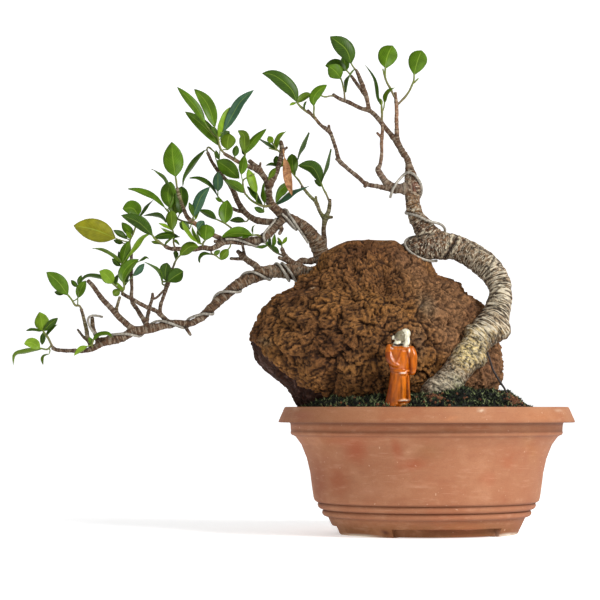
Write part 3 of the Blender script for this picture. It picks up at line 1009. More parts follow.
class BonsaiWoodSettings(bpy.types.PropertyGroup):
    """Colours of the bark"""
    bark: colour("Bark", "Grey brown bark of the limbs", "#6C4F36")
    twig: colour("Twig", "Red brown bark of the twigs", "#573E2C")
    fleck: colour("Flecks", "Pale cork flecks", "#DDD0B6")
    line: colour("Cracks", "Dark cracks across the bark", "#35271C")
    ridge: distance("Ridges", "Height of the rings round the bark", 0.00045)


class BonsaiLeafSettings(bpy.types.PropertyGroup):
    """Sizes and colours of the leaves"""
    lime: colour("Young", "Fresh lime leaves", "#708F1E")
    middle: colour("Grown", "Grown leaves in the light", "#4B6B0C")
    dark: colour("Old", "Old leaves in the shade", "#314D08")
    teal: colour("Cool", "Old leaves with a cool cast", "#34553F")
    olive: colour("Olive", "Leaves seen against the light", "#526A10")
    yellow: colour("Yellowing", "Leaf about to drop", "#817F14")
    stem: colour("Stem", "Green leaf stalks", "#66751F")
    thickness: distance("Thickness", "Thickness of a leaf", 0.00036)


class BonsaiWireSettings(bpy.types.PropertyGroup):
    """Size and colour of the training wires"""
    metal: colour("Metal", "Weathered aluminium", "#B8B0A2")
    sides: IntProperty(name="Sides", description="Sides of the round wire",
                       min=6, max=32, default=14)


class BonsaiGroundSettings(bpy.types.PropertyGroup):
    """Sizes and colours of moss and soil"""
    moss: colour("Moss", "Dark moss in the shade", "#090C07")
    tip: colour("Tips", "Lighter tips of the moss", "#2C371A")
    earth: colour("Earth", "Damp potting soil", "#683C22")
    frond: distance("Frond", "Height of a moss frond", 0.0032)
    frond_width: distance("Frond width", "Half width of a moss frond", 0.0008)
    frond_lean: FloatProperty(name="Lean", description="Most that a frond leans",
                              subtype="ANGLE", unit="ROTATION", min=0.0, default=1.2)
    fronds: FloatProperty(name="Fronds", description="Moss fronds on a square metre",
                          min=0.0, default=600000.0)
    crumb: distance("Crumb", "Size of a soil crumb", 0.0016)
    crumbs: FloatProperty(name="Crumbs", description="Soil crumbs on a square metre",
                          min=0.0, default=130000.0)


class BonsaiFigureSettings(bpy.types.PropertyGroup):
    """Colours of the glazed figurine"""
    robe: colour("Robe", "Orange brown glaze", "#B65C0C")
    hair: colour("Hair", "Cream glaze of hair and beard", "#DCD6BE")
    face: colour("Face", "Bare grey clay of the face", "#7E755C")


class BonsaiStageSettings(bpy.types.PropertyGroup):
    """Light of the plain studio"""
    paper: colour("Paper", "Pale seamless floor", "#FFFFFF")
    key: FloatProperty(name="Key light", description="Power of the large soft light",
                       subtype="POWER", unit="POWER", min=0.0, default=48.0)
    fill: FloatProperty(name="Fill light", description="Power of the soft fill light",
                        subtype="POWER", unit="POWER", min=0.0, default=2.5)
    sky: FloatProperty(name="Sky", description="Strength of the even light all round",
                       min=0.0, default=0.37)


def add(tree, kind, inputs=(), out=0, ramp=(), **props):
    """Output of a new node; each of its inputs is a plain value or the output of a node."""
    made = tree.nodes.new(kind)
    for key, value in props.items():
        setattr(made, key, value)
    for key, value in dict(inputs).items():
        if isinstance(value, bpy.types.NodeSocket):
            tree.links.new(value, made.inputs[key])
        else:
            made.inputs[key].default_value = value
    if ramp:
        stops = made.color_ramp.elements
        while len(stops) < len(ramp):
            stops.new(0.5)
        for stop, (where, value) in zip(stops, ramp):
            stop.position = where
            stop.color = (value,) * 3 + (1.0,) if isinstance(value, float) else value
    return made if out is None else made.outputs[out]


class Finish:
    """Material being made: its nodes, its place on the object and the joins to its shader."""

    def __init__(self, name, even):
        self.material = bpy.data.materials.new(name)
        self.material.use_nodes = True
        self.tree = self.material.node_tree
        self.shader = self.tree.nodes["Principled BSDF"]
        for key, value in even.items():
            self.shader.inputs[key].default_value = value
        self.spot = self.add("TexCoord", out="Object")

    def add(self, kind, inputs=(), *values, **settings):
        """Output of a new shading node; a pattern lies on the object's own places."""
        inputs = dict(inputs)
        if kind in ("TexNoise", "TexVoronoi", "Mapping"):
            inputs.setdefault("Vector", self.spot)
        return add(self.tree, "ShaderNode" + kind, inputs, *values, **settings)

    def layer(self, name, out="Fac"):
        """Numbers or colours stored on the corners."""
        return self.add("Attribute", out=out, attribute_name=name)

    def coats(self, colour, *layers):
        """Lay colours over one another by weight, or multiply where there is no weight."""
        for weight, over in layers:
            kind, weight = ("MULTIPLY", 1.0) if weight is None else ("MIX", weight)
            colour = self.add("Mix", {0: weight, 6: colour, 7: over}, 2, data_type="RGBA",
                              blend_type=kind)
        return colour

    def done(self, colour, *bumps, rough=None):
        """Join the colour and the bumps, each a height, its strength and depth in metres."""
        self.tree.links.new(colour, self.shader.inputs["Base Color"])
        if rough:
            self.tree.links.new(rough, self.shader.inputs["Roughness"])
        normal = None
        for height, strength, depth in bumps:
            inputs = {"Height": height, "Strength": strength, "Distance": depth}
            if normal:
                inputs["Normal"] = normal
            normal = self.add("Bump", inputs)
        if normal:
            self.tree.links.new(normal, self.shader.inputs["Normal"])
        return self.material


def terracotta_material(look):
    """Fired terracotta: matt, mottled by the kiln, scuffed pale on its edges."""
    made = Finish("fired_terracotta", {"IOR": 1.5, "Specular IOR Level": 0.35})
    tone = made.layer("tone", "Color")
    groove = made.layer("groove")
    # soft kiln clouds 20 to 40 mm wide
    cloud = made.add("TexNoise", {"Scale": 30.0, "Detail": 3.0, "Roughness": 0.6})
    blush = made.add("ValToRGB", {0: cloud}, ramp=((0.48, 0.0), (0.70, 0.42)))
    faded = made.add("ValToRGB", {0: cloud}, ramp=((0.30, 0.30), (0.46, 0.0)))
    # dusty wipes drawn sideways, 10 mm by 2 mm, and hair scratches along them
    wide = made.add("Mapping", {"Scale": (50.0, 50.0, 190.0)})
    scuff = made.add("TexNoise", {"Vector": wide, "Scale": 1.0, "Detail": 5.0, "Roughness": 0.6})
    pale = made.add("ValToRGB", {0: scuff}, ramp=((0.55, 0.0), (0.78, 0.26)))
    dull = made.add("ValToRGB", {0: scuff}, ramp=((0.30, 0.22), (0.45, 0.0)))
    thin = made.add("Mapping", {"Scale": (34.0, 34.0, 1500.0)})
    scratch = made.add("TexNoise", {"Vector": thin, "Scale": 1.0})
    lines = made.add("ValToRGB", {0: scratch}, ramp=((0.66, 0.0), (0.74, 0.28)))
    # chips 1 to 2 mm wide
    chip = made.add("TexNoise", {"Scale": 260.0})
    chips = made.add("ValToRGB", {0: chip}, ramp=((0.725, 0.0), (0.750, 0.45)))
    # sand grains in the clay are about 0.8 mm
    grain = made.add("TexNoise", {"Scale": 950.0, "Detail": 3.0, "Roughness": 0.7})
    fine = made.add("ValToRGB", {0: grain}, ramp=((0.30, 0.88), (0.72, 1.07)))
    colour = made.coats(tone, (blush, look.blush), (faded, linear("#BC8A68")),
                        (pale, linear("#D7A88A")), (dull, linear("#8A4F33")),
                        (lines, linear("#DDB093")), (chips, linear("#E0BC9E")),
                        (groove, linear("#552C1A")), (None, fine))
    rough = made.add("MapRange", {"Value": scuff, "To Min": 0.66, "To Max": 0.88})
    # pits a few tenths of a millimetre deep, and soft waves left by the mould
    return made.done(colour, (grain, 0.30, 0.0004), (scuff, 0.25, 0.0012), rough=rough)


def rock_material(look):
    """Crumbly brown tufa: matt, grainy, darkest in its crevices."""
    made = Finish("brown_tufa_rock", {"Roughness": 0.93, "Specular IOR Level": 0.25})
    tone = made.layer("tone", "Color")
    deep = made.layer("deep")
    # grains of 1 to 4 mm
    grain = made.add("TexNoise", {"Scale": 310.0, "Detail": 4.0, "Roughness": 0.6})
    tint = made.add("TexNoise", {"Scale": 180.0, "Detail": 3.0}, "Color")
    # flakes of 4 mm pressed together, each tilted its own way, dark where they meet
    bent = made.add("Mix", {0: 0.004, 6: made.spot, 7: tint}, 2, data_type="RGBA",
                    blend_type="LINEAR_LIGHT")
    cells = {"Vector": bent, "Scale": 260.0}
    centre = made.add("TexVoronoi", cells, "Position")
    chance = made.add("TexVoronoi", cells, "Color")
    edge = made.add("TexVoronoi", cells, "Distance", feature="DISTANCE_TO_EDGE")
    away = made.add("VectorMath", {0: bent, 1: centre}, operation="SUBTRACT")
    lean = made.add("VectorMath", {0: chance, 1: (0.5, 0.5, 0.5)}, operation="SUBTRACT")
    tilt = made.add("VectorMath", {0: away, 1: lean}, "Value", operation="DOT_PRODUCT")
    light = made.add("MapRange", {0: tilt, 1: 0.0, 2: 0.0012, 3: 1.0, 4: 1.5})
    pit = made.add("MapRange", {0: tilt, 1: -0.0004, 2: -0.0014, 3: 0.0, 4: 0.35})
    seam = made.add("MapRange", {0: edge, 1: 0.0, 2: 0.07, 3: 0.35, 4: 0.0})
    dust = made.add("TexNoise", {"Scale": 1500.0, "Roughness": 0.6})
    fine = made.add("ValToRGB", {0: dust}, ramp=((0.32, 0.84), (0.70, 1.16)))
    colour = made.coats(tone, (None, light), (pit, look.hollow), (seam, look.hollow),
                        (deep, look.hollow), (None, fine))
    return made.done(colour, (grain, 0.35, 0.0014), (tilt, 1.0, 1.0), (dust, 0.3, 0.0003))


def bark_material(look):
    """Banyan bark: matt and thin, ringed across the limb, flecked with pale cork."""
    made = Finish("banyan_bark", {"Roughness": 0.84, "Specular IOR Level": 0.3})
    skin = made.add("TexCoord", out="UV")
    tone = made.layer("tone", "Color")
    lined, dark, lit, worn = map(made.layer, ("lined", "dark", "lit", "worn"))
    # cracks run round the limb: 14 mm long, 3 mm apart along it
    wide = made.add("Mapping", {"Vector": skin, "Scale": (75.0, 540.0, 1.0)})
    crack = made.add("TexNoise", {"Vector": wide, "Scale": 1.0, "Detail": 3.0, "Distortion": 0.7})
    slit = made.add("ValToRGB", {0: crack}, ramp=((0.38, 0.95), (0.46, 0.0)))
    slits = made.add("Math", {0: slit, 1: lined}, operation="MULTIPLY")
    lip = made.add("ValToRGB", {0: crack}, ramp=((0.52, 0.0), (0.58, 0.9)))
    lips = made.add("Math", {0: lip, 1: lined}, operation="MULTIPLY")
    # mottles of 2 to 5 mm, and pits where they are darkest
    mottle = made.add("TexNoise", {"Scale": 330.0, "Detail": 3.0, "Roughness": 0.6})
    shade = made.add("ValToRGB", {0: mottle}, ramp=((0.39, 0.14), (0.48, 0.75), (0.64, 1.35)))
    shade = made.coats((1.0, 1.0, 1.0, 1.0), (worn, shade))
    # cork flecks 2 to 4 mm long across the limb
    long = made.add("Mapping", {"Vector": skin, "Scale": (250.0, 520.0, 1.0)})
    cork = made.add("TexNoise", {"Vector": long, "Scale": 1.0, "Distortion": 1.2})
    fleck = made.add("ValToRGB", {0: cork}, ramp=((0.55, 0.0), (0.605, 0.95)))
    flecks = made.add("Math", {0: fleck, 1: lit}, operation="MULTIPLY")
    colour = made.coats(tone, (None, shade), (flecks, look.fleck), (lips, look.fleck),
                        (slits, look.line), (dark, linear("#1E130D")))
    return made.done(colour, (crack, 0.9, 0.0016), (cork, 0.9, 0.0016), (mottle, 0.8, 0.0020))


def leaf_material():
    """Living banyan leaf: waxy and smooth on top, duller below, with a paler midrib."""
    made = Finish("banyan_leaf", {"IOR": 1.42, "Specular IOR Level": 0.22})
    tone = made.layer("tone", "Color")
    under = made.layer("under")
    # the map runs 0 to 1 along the leaf and -1 to 1 across it
    skin = made.add("TexCoord", out="UV")
    along, across = (made.add("SeparateXYZ", {0: skin}, axis) for axis in "XY")
    side = made.add("Math", {0: across}, operation="ABSOLUTE")
    rib = made.add("MapRange", {0: side, 1: 0.0, 2: 0.075, 3: 0.45, 4: 0.0},
                   interpolation_type="SMOOTHSTEP")
    # side veins leave the midrib at about 50 degrees, 12 pairs to a leaf
    slant = made.add("Math", {0: side, 1: -0.30, 2: along}, operation="MULTIPLY_ADD")
    wave = made.add("Math", {0: slant, 1: 75.0}, operation="MULTIPLY")
    comb = made.add("Math", {0: wave}, operation="SINE")
    vein = made.add("MapRange", {0: comb, 1: 0.72, 2: 1.0, 3: 0.0, 4: 0.12})
    veins = made.add("Math", {0: rib, 1: vein}, operation="MAXIMUM")
    mottle = made.add("TexNoise", {"Scale": 160.0})
    shade = made.add("ValToRGB", {0: mottle}, ramp=((0.34, 0.80), (0.66, 1.14)))
    paler = made.add("Math", {0: under, 1: 0.32}, operation="MULTIPLY")
    rough = made.add("MapRange", {0: under, 3: 0.38, 4: 0.60})
    colour = made.coats(tone, (None, shade), (veins, linear("#9DB545")),
                        (paler, linear("#6F8640")))
    return made.done(colour, (veins, 0.35, 0.0003), rough=rough)


def mottled_material(name, even, scale, dark, light, bump, tone=""):
    """Plain stuff with a noise of its own: from a dark to a light colour, or over a tone."""
    made = Finish(name, even)
    wide = made.add("Mapping", {"Scale": scale})
    noisy = made.add("TexNoise", {"Vector": wide, "Scale": 1.0, "Detail": 3.0, "Roughness": 0.6})
    colour = made.add("ValToRGB", {0: noisy}, ramp=((0.33, dark), (0.68, light)))
    if tone:
        under = made.layer(tone, "Color")
        colour = made.coats(under, (None, colour))
    made.done(colour, (noisy, *bump))
    return made


def stem_material():
    """Green young stem: smooth, slightly waxy, browner towards the old wood."""
    return mottled_material("green_stem", {"Roughness": 0.55}, (700.0,) * 3, 0.72, 1.2,
                            (0.2, 0.0002), "tone").material


def dry_leaf_material():
    """Dead leaf: papery and tan, with darker blotches of 3 mm."""
    return mottled_material("dry_leaf_paper", {"Roughness": 0.75}, (300.0,) * 3,
                            linear("#754626"), linear("#C79260"), (0.5, 0.0006)).material


def wire_material(look):
    """Annealed aluminium training wire: dull metal under a pale oxide bloom."""
    even = {"Metallic": 0.25, "Roughness": 0.5}
    return mottled_material("annealed_aluminium", even, (500.0,) * 3, linear("#6A6459"),
                            look.metal[:], (0.2, 0.0002)).material


def twig_material():
    """Dead peeled twig: dark and half matt, its fibre drawn out along it."""
    return mottled_material("dead_twig_wood", {"Roughness": 0.6}, (900.0, 900.0, 200.0),
                            linear("#120705"), linear("#2C1A12"), (0.4, 0.0003)).material


def glaze_material():
    """Glazed earthenware: glassy coat that pools darker and breaks lighter on edges."""
    even = {"IOR": 1.52, "Specular IOR Level": 0.3, "Coat Weight": 0.15,
            "Coat Roughness": 0.05}
    made = mottled_material("glazed_earthenware", even, (420.0, 420.0, 90.0), 0.66, 1.30,
                            (0.25, 0.0006), "tone")
    bare = made.layer("bare")
    rough = made.add("MapRange", {0: bare, 3: 0.10, 4: 0.60})
    made.tree.links.new(rough, made.shader.inputs["Roughness"])
    return made.material


def moss_material(look):
    """Cushion moss in shade: almost black at the roots, olive at the tips."""
    made = Finish("cushion_moss", {"Roughness": 0.6, "Specular IOR Level": 0.25})
    broad = made.add("TexNoise", {"Scale": 120.0, "Detail": 3.0, "Roughness": 0.6})
    lift = made.add("ValToRGB", {0: broad}, ramp=((0.42, look.moss[:]), (0.70, look.tip[:])))
    leafy = made.add("TexNoise", {"Scale": 430.0, "Detail": 4.0, "Roughness": 0.7})
    shade = made.add("ValToRGB", {0: leafy}, ramp=((0.42, 0.04), (0.54, 0.7), (0.66, 4.6)))
    # one frond in ten is paler and catches the light
    chance = made.layer("chance")
    young = made.add("MapRange", {0: chance, 1: 0.88, 2: 0.98, 3: 0.0, 4: 0.9})
    colour = made.coats(lift, (None, shade), (young, linear("#8A9462")))
    return made.done(colour, (leafy, 0.9, 0.0012))


def earth_material(look):
    """Damp potting soil: dark, crumbly and matt."""
    made = Finish("potting_soil", {"Roughness": 0.92})
    crumb = made.add("TexNoise", {"Scale": 420.0, "Detail": 5.0, "Roughness": 0.7})
    body = made.add("ValToRGB", {0: crumb}, ramp=(
        (0.34, linear("#1C100A")), (0.50, look.earth[:]), (0.70, linear("#A87446"))))
    return made.done(body, (crumb, 1.0, 0.0015))


def paper_material(look):
    """Seamless studio paper: matt and even, with a faint tooth."""
    even = {"Roughness": 0.9, "Emission Color": look.paper, "Emission Strength": 0.45}
    return mottled_material("studio_paper", even, (900.0,) * 3, linear("#FBFBFB"),
                            look.paper[:], (0.05, 0.0001)).material


def ring_block(r0, r1, z0, z1, start, width, steps=48):
    """Upright block shaped as part of a ring, angles running to the right from the front."""
    verts = []
    for i in range(steps + 1):
        a = math.radians(start + width * i / steps)
        verts += [(r * math.sin(a), -r * math.cos(a), z) for r in (r0, r1) for z in (z0, z1)]
    faces = []
    for a in range(0, 4 * steps, 4):
        b = a + 4
        faces += [(a, a + 1, b + 1, b), (a + 2, b + 2, b + 3, a + 3),
                  (a + 1, a + 3, b + 3, b + 1), (a, b, b + 2, a + 2)]
    end = 4 * steps
    faces += [(0, 2, 3, 1), (end, end + 1, end + 3, end + 2)]
    return make_solid("block", verts, faces)


def post(x, y, radius, low, high, sides=40):
    """Upright round post."""
    angles = [2 * math.pi * i / sides for i in range(sides)]
    verts = [(x + radius * math.cos(a), y + radius * math.sin(a), z)
             for z in (low, high) for a in angles]
    return make_solid("post", verts, capped_faces(2, sides))


def cut_away(obj, tools):
    """Cut solids out of a solid and remove them."""
    for tool in tools:
        cut = obj.modifiers.new("cut", "BOOLEAN")
        cut.operation = "DIFFERENCE"
        cut.object = tool
        cut.solver = "EXACT"
    obj = baked(obj)
    for tool in tools:
        bpy.data.objects.remove(tool)
    return obj


def thrown_bowl(look):
    """Body of the bowl turned from its profile, a little out of round."""
    profile = [(r0 + (r1 - r0) * (i / count), z0 + (z1 - z0) * (i / count))
               for (r0, z0, count), (r1, z1, _) in zip(BOWL_PROFILE, BOWL_PROFILE[1:])
               for i in range(count)]
    ring = [row for row in profile if row[0] > 0]
    sides = look.steps
    angle = round_angles(sides)
    verts = []
    for r, z in ring:
        sway = 0.12 * np.sin(2 * angle + 0.4) + 0.05 * np.sin(5 * angle + z)
        verts += [((r + s) * math.sin(a), -(r + s) * math.cos(a), z) for a, s in zip(angle, sway)]
    low = len(verts)
    last = low - sides
    verts += [(0.0, 0.0, BOWL_PROFILE[0][1]), (0.0, 0.0, BOWL_PROFILE[-1][1])]
    faces = grid_faces(len(ring), sides).tolist()
    for c in range(sides):
        d = (c + 1) % sides
        faces += [(low, d, c), (low + 1, last + c, last + d)]
    return make_solid("terracotta_bowl", verts, faces, [terracotta_material(look)])


def paint_bowl(bowl, look):
    """Colours of the fired clay, and the dirt in its grooves."""
    where = corners_of(bowl)
    radius = np.hypot(where[:, 0], where[:, 1])
    height = where[:, 2]
    tone = coat(look.body, len(where))
    foot = share((24.0 - height) / 12.0) * 0.75
    foot[radius < APRON_RADIUS - 1] = 0.75
    blend(tone, look.foot, foot)
    blend(tone, look.rim, share((height - 115.0) / 1.6) * 0.85)
    stain(tone, seen(where), BOWL_STAINS, share(-where[:, 1] / 10.0))
    # dirt sits beside the beads, under the rim and in the recess of the foot
    groove = np.zeros(len(where))
    for level, width, strength in BOWL_GROOVES:
        groove = np.maximum(groove, falloff(height - level, width * 1.6) * strength)
    outside = radius > 80
    recess = (radius < APRON_RADIUS + 0.6) & (height < APRON_TOP + 0.2) & outside
    mark(bowl.data, {"tone": tone, "groove": np.where(recess, 0.2, groove * outside)})


def build_bowl(look):
    """Thrown and pressed terracotta bowl with beads, rim, foot aprons and drain holes."""
    bowl = thrown_bowl(look)
    tools = []
    for i in range(APRON_COUNT):
        start = APRON_START + 360.0 / APRON_COUNT * i
        tools.append(ring_block(APRON_RADIUS, 120, FOOT - 2, APRON_TOP, start, APRON_WIDTH))
        tools.append(ring_block(78, APRON_RADIUS + 1, FOOT - 2, FOOT + 0.6, start + 1,
                                APRON_WIDTH - 2))
    tools += [post(x, y, DRAIN_RADIUS, -10, 34) for x, y in DRAIN_CENTRES]
    bowl = cut_away(bowl, tools)
    paint_bowl(bowl, look)
    soften_by_angle(bowl, 34)
    return bowl


def rock_column(level):
    """Limits of the rock between its levels: height, left, right, middle depth, half depth."""
    last = len(ROCK_LEVELS) - 1
    i = min(int(level), last - 1)
    rows = [ROCK_LEVELS[max(0, min(last, i + k))] for k in (-1, 0, 1, 2)]
    return on_curve(rows, level - i)


def blurred(grid, reach):
    """Mean of a grid over its neighbours; its rows close on themselves."""
    steps = range(-reach, reach + 1)
    rows = np.arange(len(grid))
    out = sum(np.roll(grid, k, 1) for k in steps) / len(steps)
    return sum(out[np.clip(rows + k, 0, len(grid) - 1)] for k in steps) / len(steps)


def rock_rings(turn, levels):
    """Rings of the plain rock in the front view, from its foot up to its closed top."""
    c = np.cos(turn)
    s = np.sin(turn)
    square = (np.abs(c) ** 2.3 + np.abs(s) ** 2.3) ** (-1 / 2.3)
    rings = []
    for level in np.linspace(0, len(ROCK_LEVELS) - 1.0, levels):
        z, left, right, middle, half = rock_column(level)
        rings.append(np.stack([(left + right) / 2 + (right - left) / 2 * c * square,
                               middle + half * s * square, np.full(len(turn), z)], 1))
    # close the top with shrinking rings that rise to the peak
    top = rings[-1]
    peak = np.array(ROCK_PEAK)
    for t in (0.86, 0.70, 0.53, 0.36, 0.20, 0.07):
        ring = peak + (top - peak) * t
        ring[:, 2] = top[0, 2] + (peak[2] - top[0, 2]) * (1 - t * t)
        rings.append(ring)
    return rings


def crust(look, verts):
    """Height of the clumps and plates of the rock's crust."""
    clump = look.clump / MM
    warp = np.stack([speckle(verts, 16.0, 3.0 + i) for i in range(3)], 1) * 7.0
    big, big_gap, big_tilt, _ = flakes(verts + warp, clump, 1.0)
    lift = look.relief / MM * (0.62 - big) * 0.5 + 0.35 * big_tilt
    lift -= 1.1 * falloff(big_gap, 0.12) * share(3 * speckle(verts, 15.0, 6.0) + 0.3)
    # plates of 11, 5 and 3 mm, each tilted and set off from its neighbours
    for part, tilt, step, seam, seed in ((0.46, 0.5, 0.12, 0.7, 5.0), (0.22, 0.6, 0.16, 0.45, 9.0),
                                         (0.13, 0.8, 0.20, 0.3, 13.0)):
        _, gap, lean, offset = flakes(verts + warp * part, clump * part, seed)
        open_seam = share(3 * speckle(verts, 8.0, seed - 1.0) + 0.4)
        lift += tilt * lean + step * offset - seam * falloff(gap, 0.18) * open_seam
    lift += 0.8 * speckle(verts, 8.0, 2.0) + 0.25 * speckle(verts, 3.0, 8.0)
    return lift


def rock_colours(look, verts, flat, front, ribbed, bare):
    """Browns of the rock: soft clouds, stains, its ribbed right and its bare underside."""
    tone = coat(look.stone, len(verts))
    spread = speckle(verts, 34.0, 12.0)
    blend(tone, "#55351B", np.clip(spread * 1.6, 0, 0.8))
    blend(tone, "#7C5429", np.clip(-spread * 1.4, 0, 0.7))
    blend(tone, "#76563C", 0.6 * ribbed * front)
    stain(tone, flat, ROCK_STAINS, front)
    blend(tone, "#2A1410", 0.9 * bare)
    blend(tone, "#6B5148", 0.6 * bare * share(4 * speckle(verts, 7.0, 3.0) - 1.1))
    return tone


def build_rock(look):
    """Boulder lofted through its levels, then flaked, cracked and stained."""
    turn = round_angles(look.columns)
    # columns stand closer together on the side that shows
    turn += 0.4 * (1.0 - np.cos(turn))
    rings = rock_rings(turn, look.rings)
    flat = np.concatenate(rings)
    count = len(rings)
    k = 1.0 + flat[:, 1] / SIGHT_DISTANCE
    verts = np.stack([SIGHT_X + (flat[:, 0] - SIGHT_X) * k, flat[:, 1],
                      SIGHT_Z + (flat[:, 2] - SIGHT_Z) * k], 1)
    centre = np.array(ROCK_MIDDLE)
    out = (verts - centre) / np.array([1.0, 0.62, 1.0])
    out /= np.linalg.norm(out, axis=1)[:, None]

    # the plain solid's own lumps, on the front and back
    broad = np.array([noise.voronoi(Vector(p) * 0.045)[0][0] for p in flat])
    swell = 11.0 * (0.42 - broad) + 6.0 * np.array([noise.noise(Vector(p) * 0.06) for p in flat])
    verts += out * (swell * np.abs(np.sin(np.tile(turn, count))) * 0.85)[:, None]

    lift = crust(look, verts)
    flat = seen(verts)
    front = share((centre[1] - verts[:, 1]) / 14.0)
    smooth = oval(flat[:, 0] + 163, flat[:, 1] - 178, 17, 22, 1.3) * front
    # the underside at the left has lost its brown skin along a ragged line
    edge_x = np.interp(flat[:, 1], *zip(*ROCK_BARE_EDGE))
    bare = share((edge_x + 4.0 * speckle(verts, 9.0, 5.0) - flat[:, 0]) / 1.6)
    bare *= share((204 - flat[:, 1]) / 4)
    lift = lift * (1.0 - np.maximum(0.7 * smooth, 0.4 * bare)) - 1.4 * bare
    cut = np.zeros(len(verts))
    deep = np.zeros(len(verts))
    for width, depth, dark, *line in ROCK_CRACKS:
        near = falloff(line_distance(flat, line), width) * front
        cut += near * depth
        deep = np.maximum(deep, near * dark)
    # the right mass is slanted in fine ribs from upper left to lower right
    ribbed = share((flat[:, 0] + 0.55 * (flat[:, 1] - 196) - 2) / 22)
    rib = np.array([noise.noise(Vector(((x + z) / 4.2, (x - z) / 17.0, y / 12.0)))
                    for (x, z), y in zip(flat, verts[:, 1])])
    lift += 1.1 * rib * ribbed * front
    # the top keeps to its plain height
    lift = np.clip(lift - cut, -7.0, np.where(verts[:, 2] > 284, 0.6, 3.2))
    # edges that stand out are lighter, and what lies behind its surroundings is darker
    grid = lift.reshape(count, -1)
    sharp, wide = ((grid - blurred(grid, reach)).reshape(-1) for reach in (2, 7))
    verts += out * lift[:, None]
    verts[:, 2] -= 0.7 * np.maximum(verts[:, 2] - 298.0, 0.0)

    tone = rock_colours(look, verts, flat, front, ribbed, bare)
    raised = np.clip(1.1 * sharp + 0.06 * wide, 0, 0.6) * (1.0 - 0.6 * bare)
    tone[:, :3] *= (1.0 + 0.9 * raised)[:, None]
    hollow = np.clip(-1.4 * sharp - 0.12, 0, 0.8) + np.clip(-0.10 * wide, 0, 0.3)
    hollow = np.maximum(np.clip(hollow, 0, 0.88) * (1 - 0.5 * smooth - 0.3 * ribbed), deep)
    return make_solid("tufa_rock", verts, capped_faces(count, len(turn)), [rock_material(look)],
                      {"tone": tone, "deep": hollow})


def knuckled(rows, seed):
    """Swell a thin twig at its leaf scars and make its thickness uneven."""
    rows = rows.copy()
    for i, s in enumerate(run_of(rows[:, :3])):
        wander = noise.noise(Vector((s / 5.0, seed, 0.3)))
        scar = max(0.0, math.cos(2 * math.pi * (s / 7.4 + 0.6 * wander + seed))) ** 8
        thin = min(1.0, 3.2 / rows[i, 3])
        rows[i, 3] *= 1.0 + thin * (0.17 * scar + 0.10 * wander)
        for axis, shift in ((0, 4.1), (2, 8.7)):
            rows[i, axis] += 0.28 * thin * noise.noise(Vector((s / 7.0, seed, shift)))
    return rows


def limb_bars():
    """Every limb: its name, its measured points and its plain round bar."""
    limbs = []
    for number, (name, points) in enumerate(BRANCHES.items()):
        line = np.array([(*place(x, z, y), r) for x, z, y, r in grouped(points, 4)])
        thick = float(line[:, 3].max())
        step = 0.85 if name in OLD_LIMBS else 1.1 if thick > 5 else 1.35
        sides = (84 if name == "trunk" else 56 if name == "leader" else 40 if thick > 7
                 else 24 if thick > 4.2 else 14)
        fine = smooth_path(line, step)
        if name != "trunk":
            fine = knuckled(fine, 0.37 * number)
        limbs.append((name, line, Bar(fine, sides)))
    return limbs


def join_limb(lift, points, thick, name, limbs):
    """Let a limb flow into the others where they meet."""
    for other, line, _ in limbs:
        reach = line[:, 3].max() + 7.0
        close = np.all((points > line[:, :3].min(0) - reach)
                       & (points < line[:, :3].max(0) + reach), axis=1)
        if other == name or not close.any():
            continue
        d, r = bar_distance(points[close], line)
        k = np.clip(1.15 * np.minimum(thick[close], r), 0.8, 7.0)
        h = share(1.0 - d / k)
        lift[close] += h * h * k * 0.25


def swell_burls(lift, points):
    """Raise the burls of the trunk."""
    for x, z, y, r in BURLS:
        d = np.linalg.norm(points - np.array(place(x, z, y)), axis=1) - r
        h = share(1.0 - d / 5.0)
        lift += np.where(d < 0, -d, 0.0) * 0.85 + h * h * 1.25


def cut_grooves(lift, dark, flat, front):
    """Cut the grooves of the old bark, darken them, and return how pale their lips are."""
    pale = np.zeros(len(lift))
    for width, depth, strength, edge, *groove in BARK_GROOVES:
        d = line_distance(flat, groove)
        near = falloff(d, width) * front
        lift -= near * depth
        np.maximum(dark, near * strength, out=dark)
        lip = falloff(d - width * 1.25, width * 0.7) * front
        lift += lip * 0.35 * edge
        np.maximum(pale, lip * edge, out=pale)
    return pale


def darken_by_wires(dark, points, wires):
    """Dirt on the bark beside the wires."""
    for wire in wires:
        close = np.linalg.norm(points - wire[:, :3].mean(0), axis=1) < 90.0
        if close.any():
            d = bar_distance(points[close], wire)[0]
            dark[close] = np.maximum(dark[close], 0.75 * falloff(d, 2.4))


def bark_colours(look, bar, flat, heavy, pale, ring):
    """Colours of one limb's bark: its own tone, stains, pale lips and shade."""
    tone = coat(look.bark, len(flat))
    blend(tone, look.twig, 1.0 - share((bar.thick - 2.2) / 5.0))
    stain(tone, flat, BARK_PATCHES)
    blend(tone, "#E0D3B4", pale * 0.8)
    # bark turned down and away from the light is darker with damp and dust
    blend(tone, "#3B2A1E", 0.45 * (share(-bar.normals[:, 2] - 0.25) * heavy))
    tone[:, :3] *= (1.0 + 0.5 * np.clip(ring, -0.5, 0.5) * (0.4 + heavy))[:, None]
    return tone


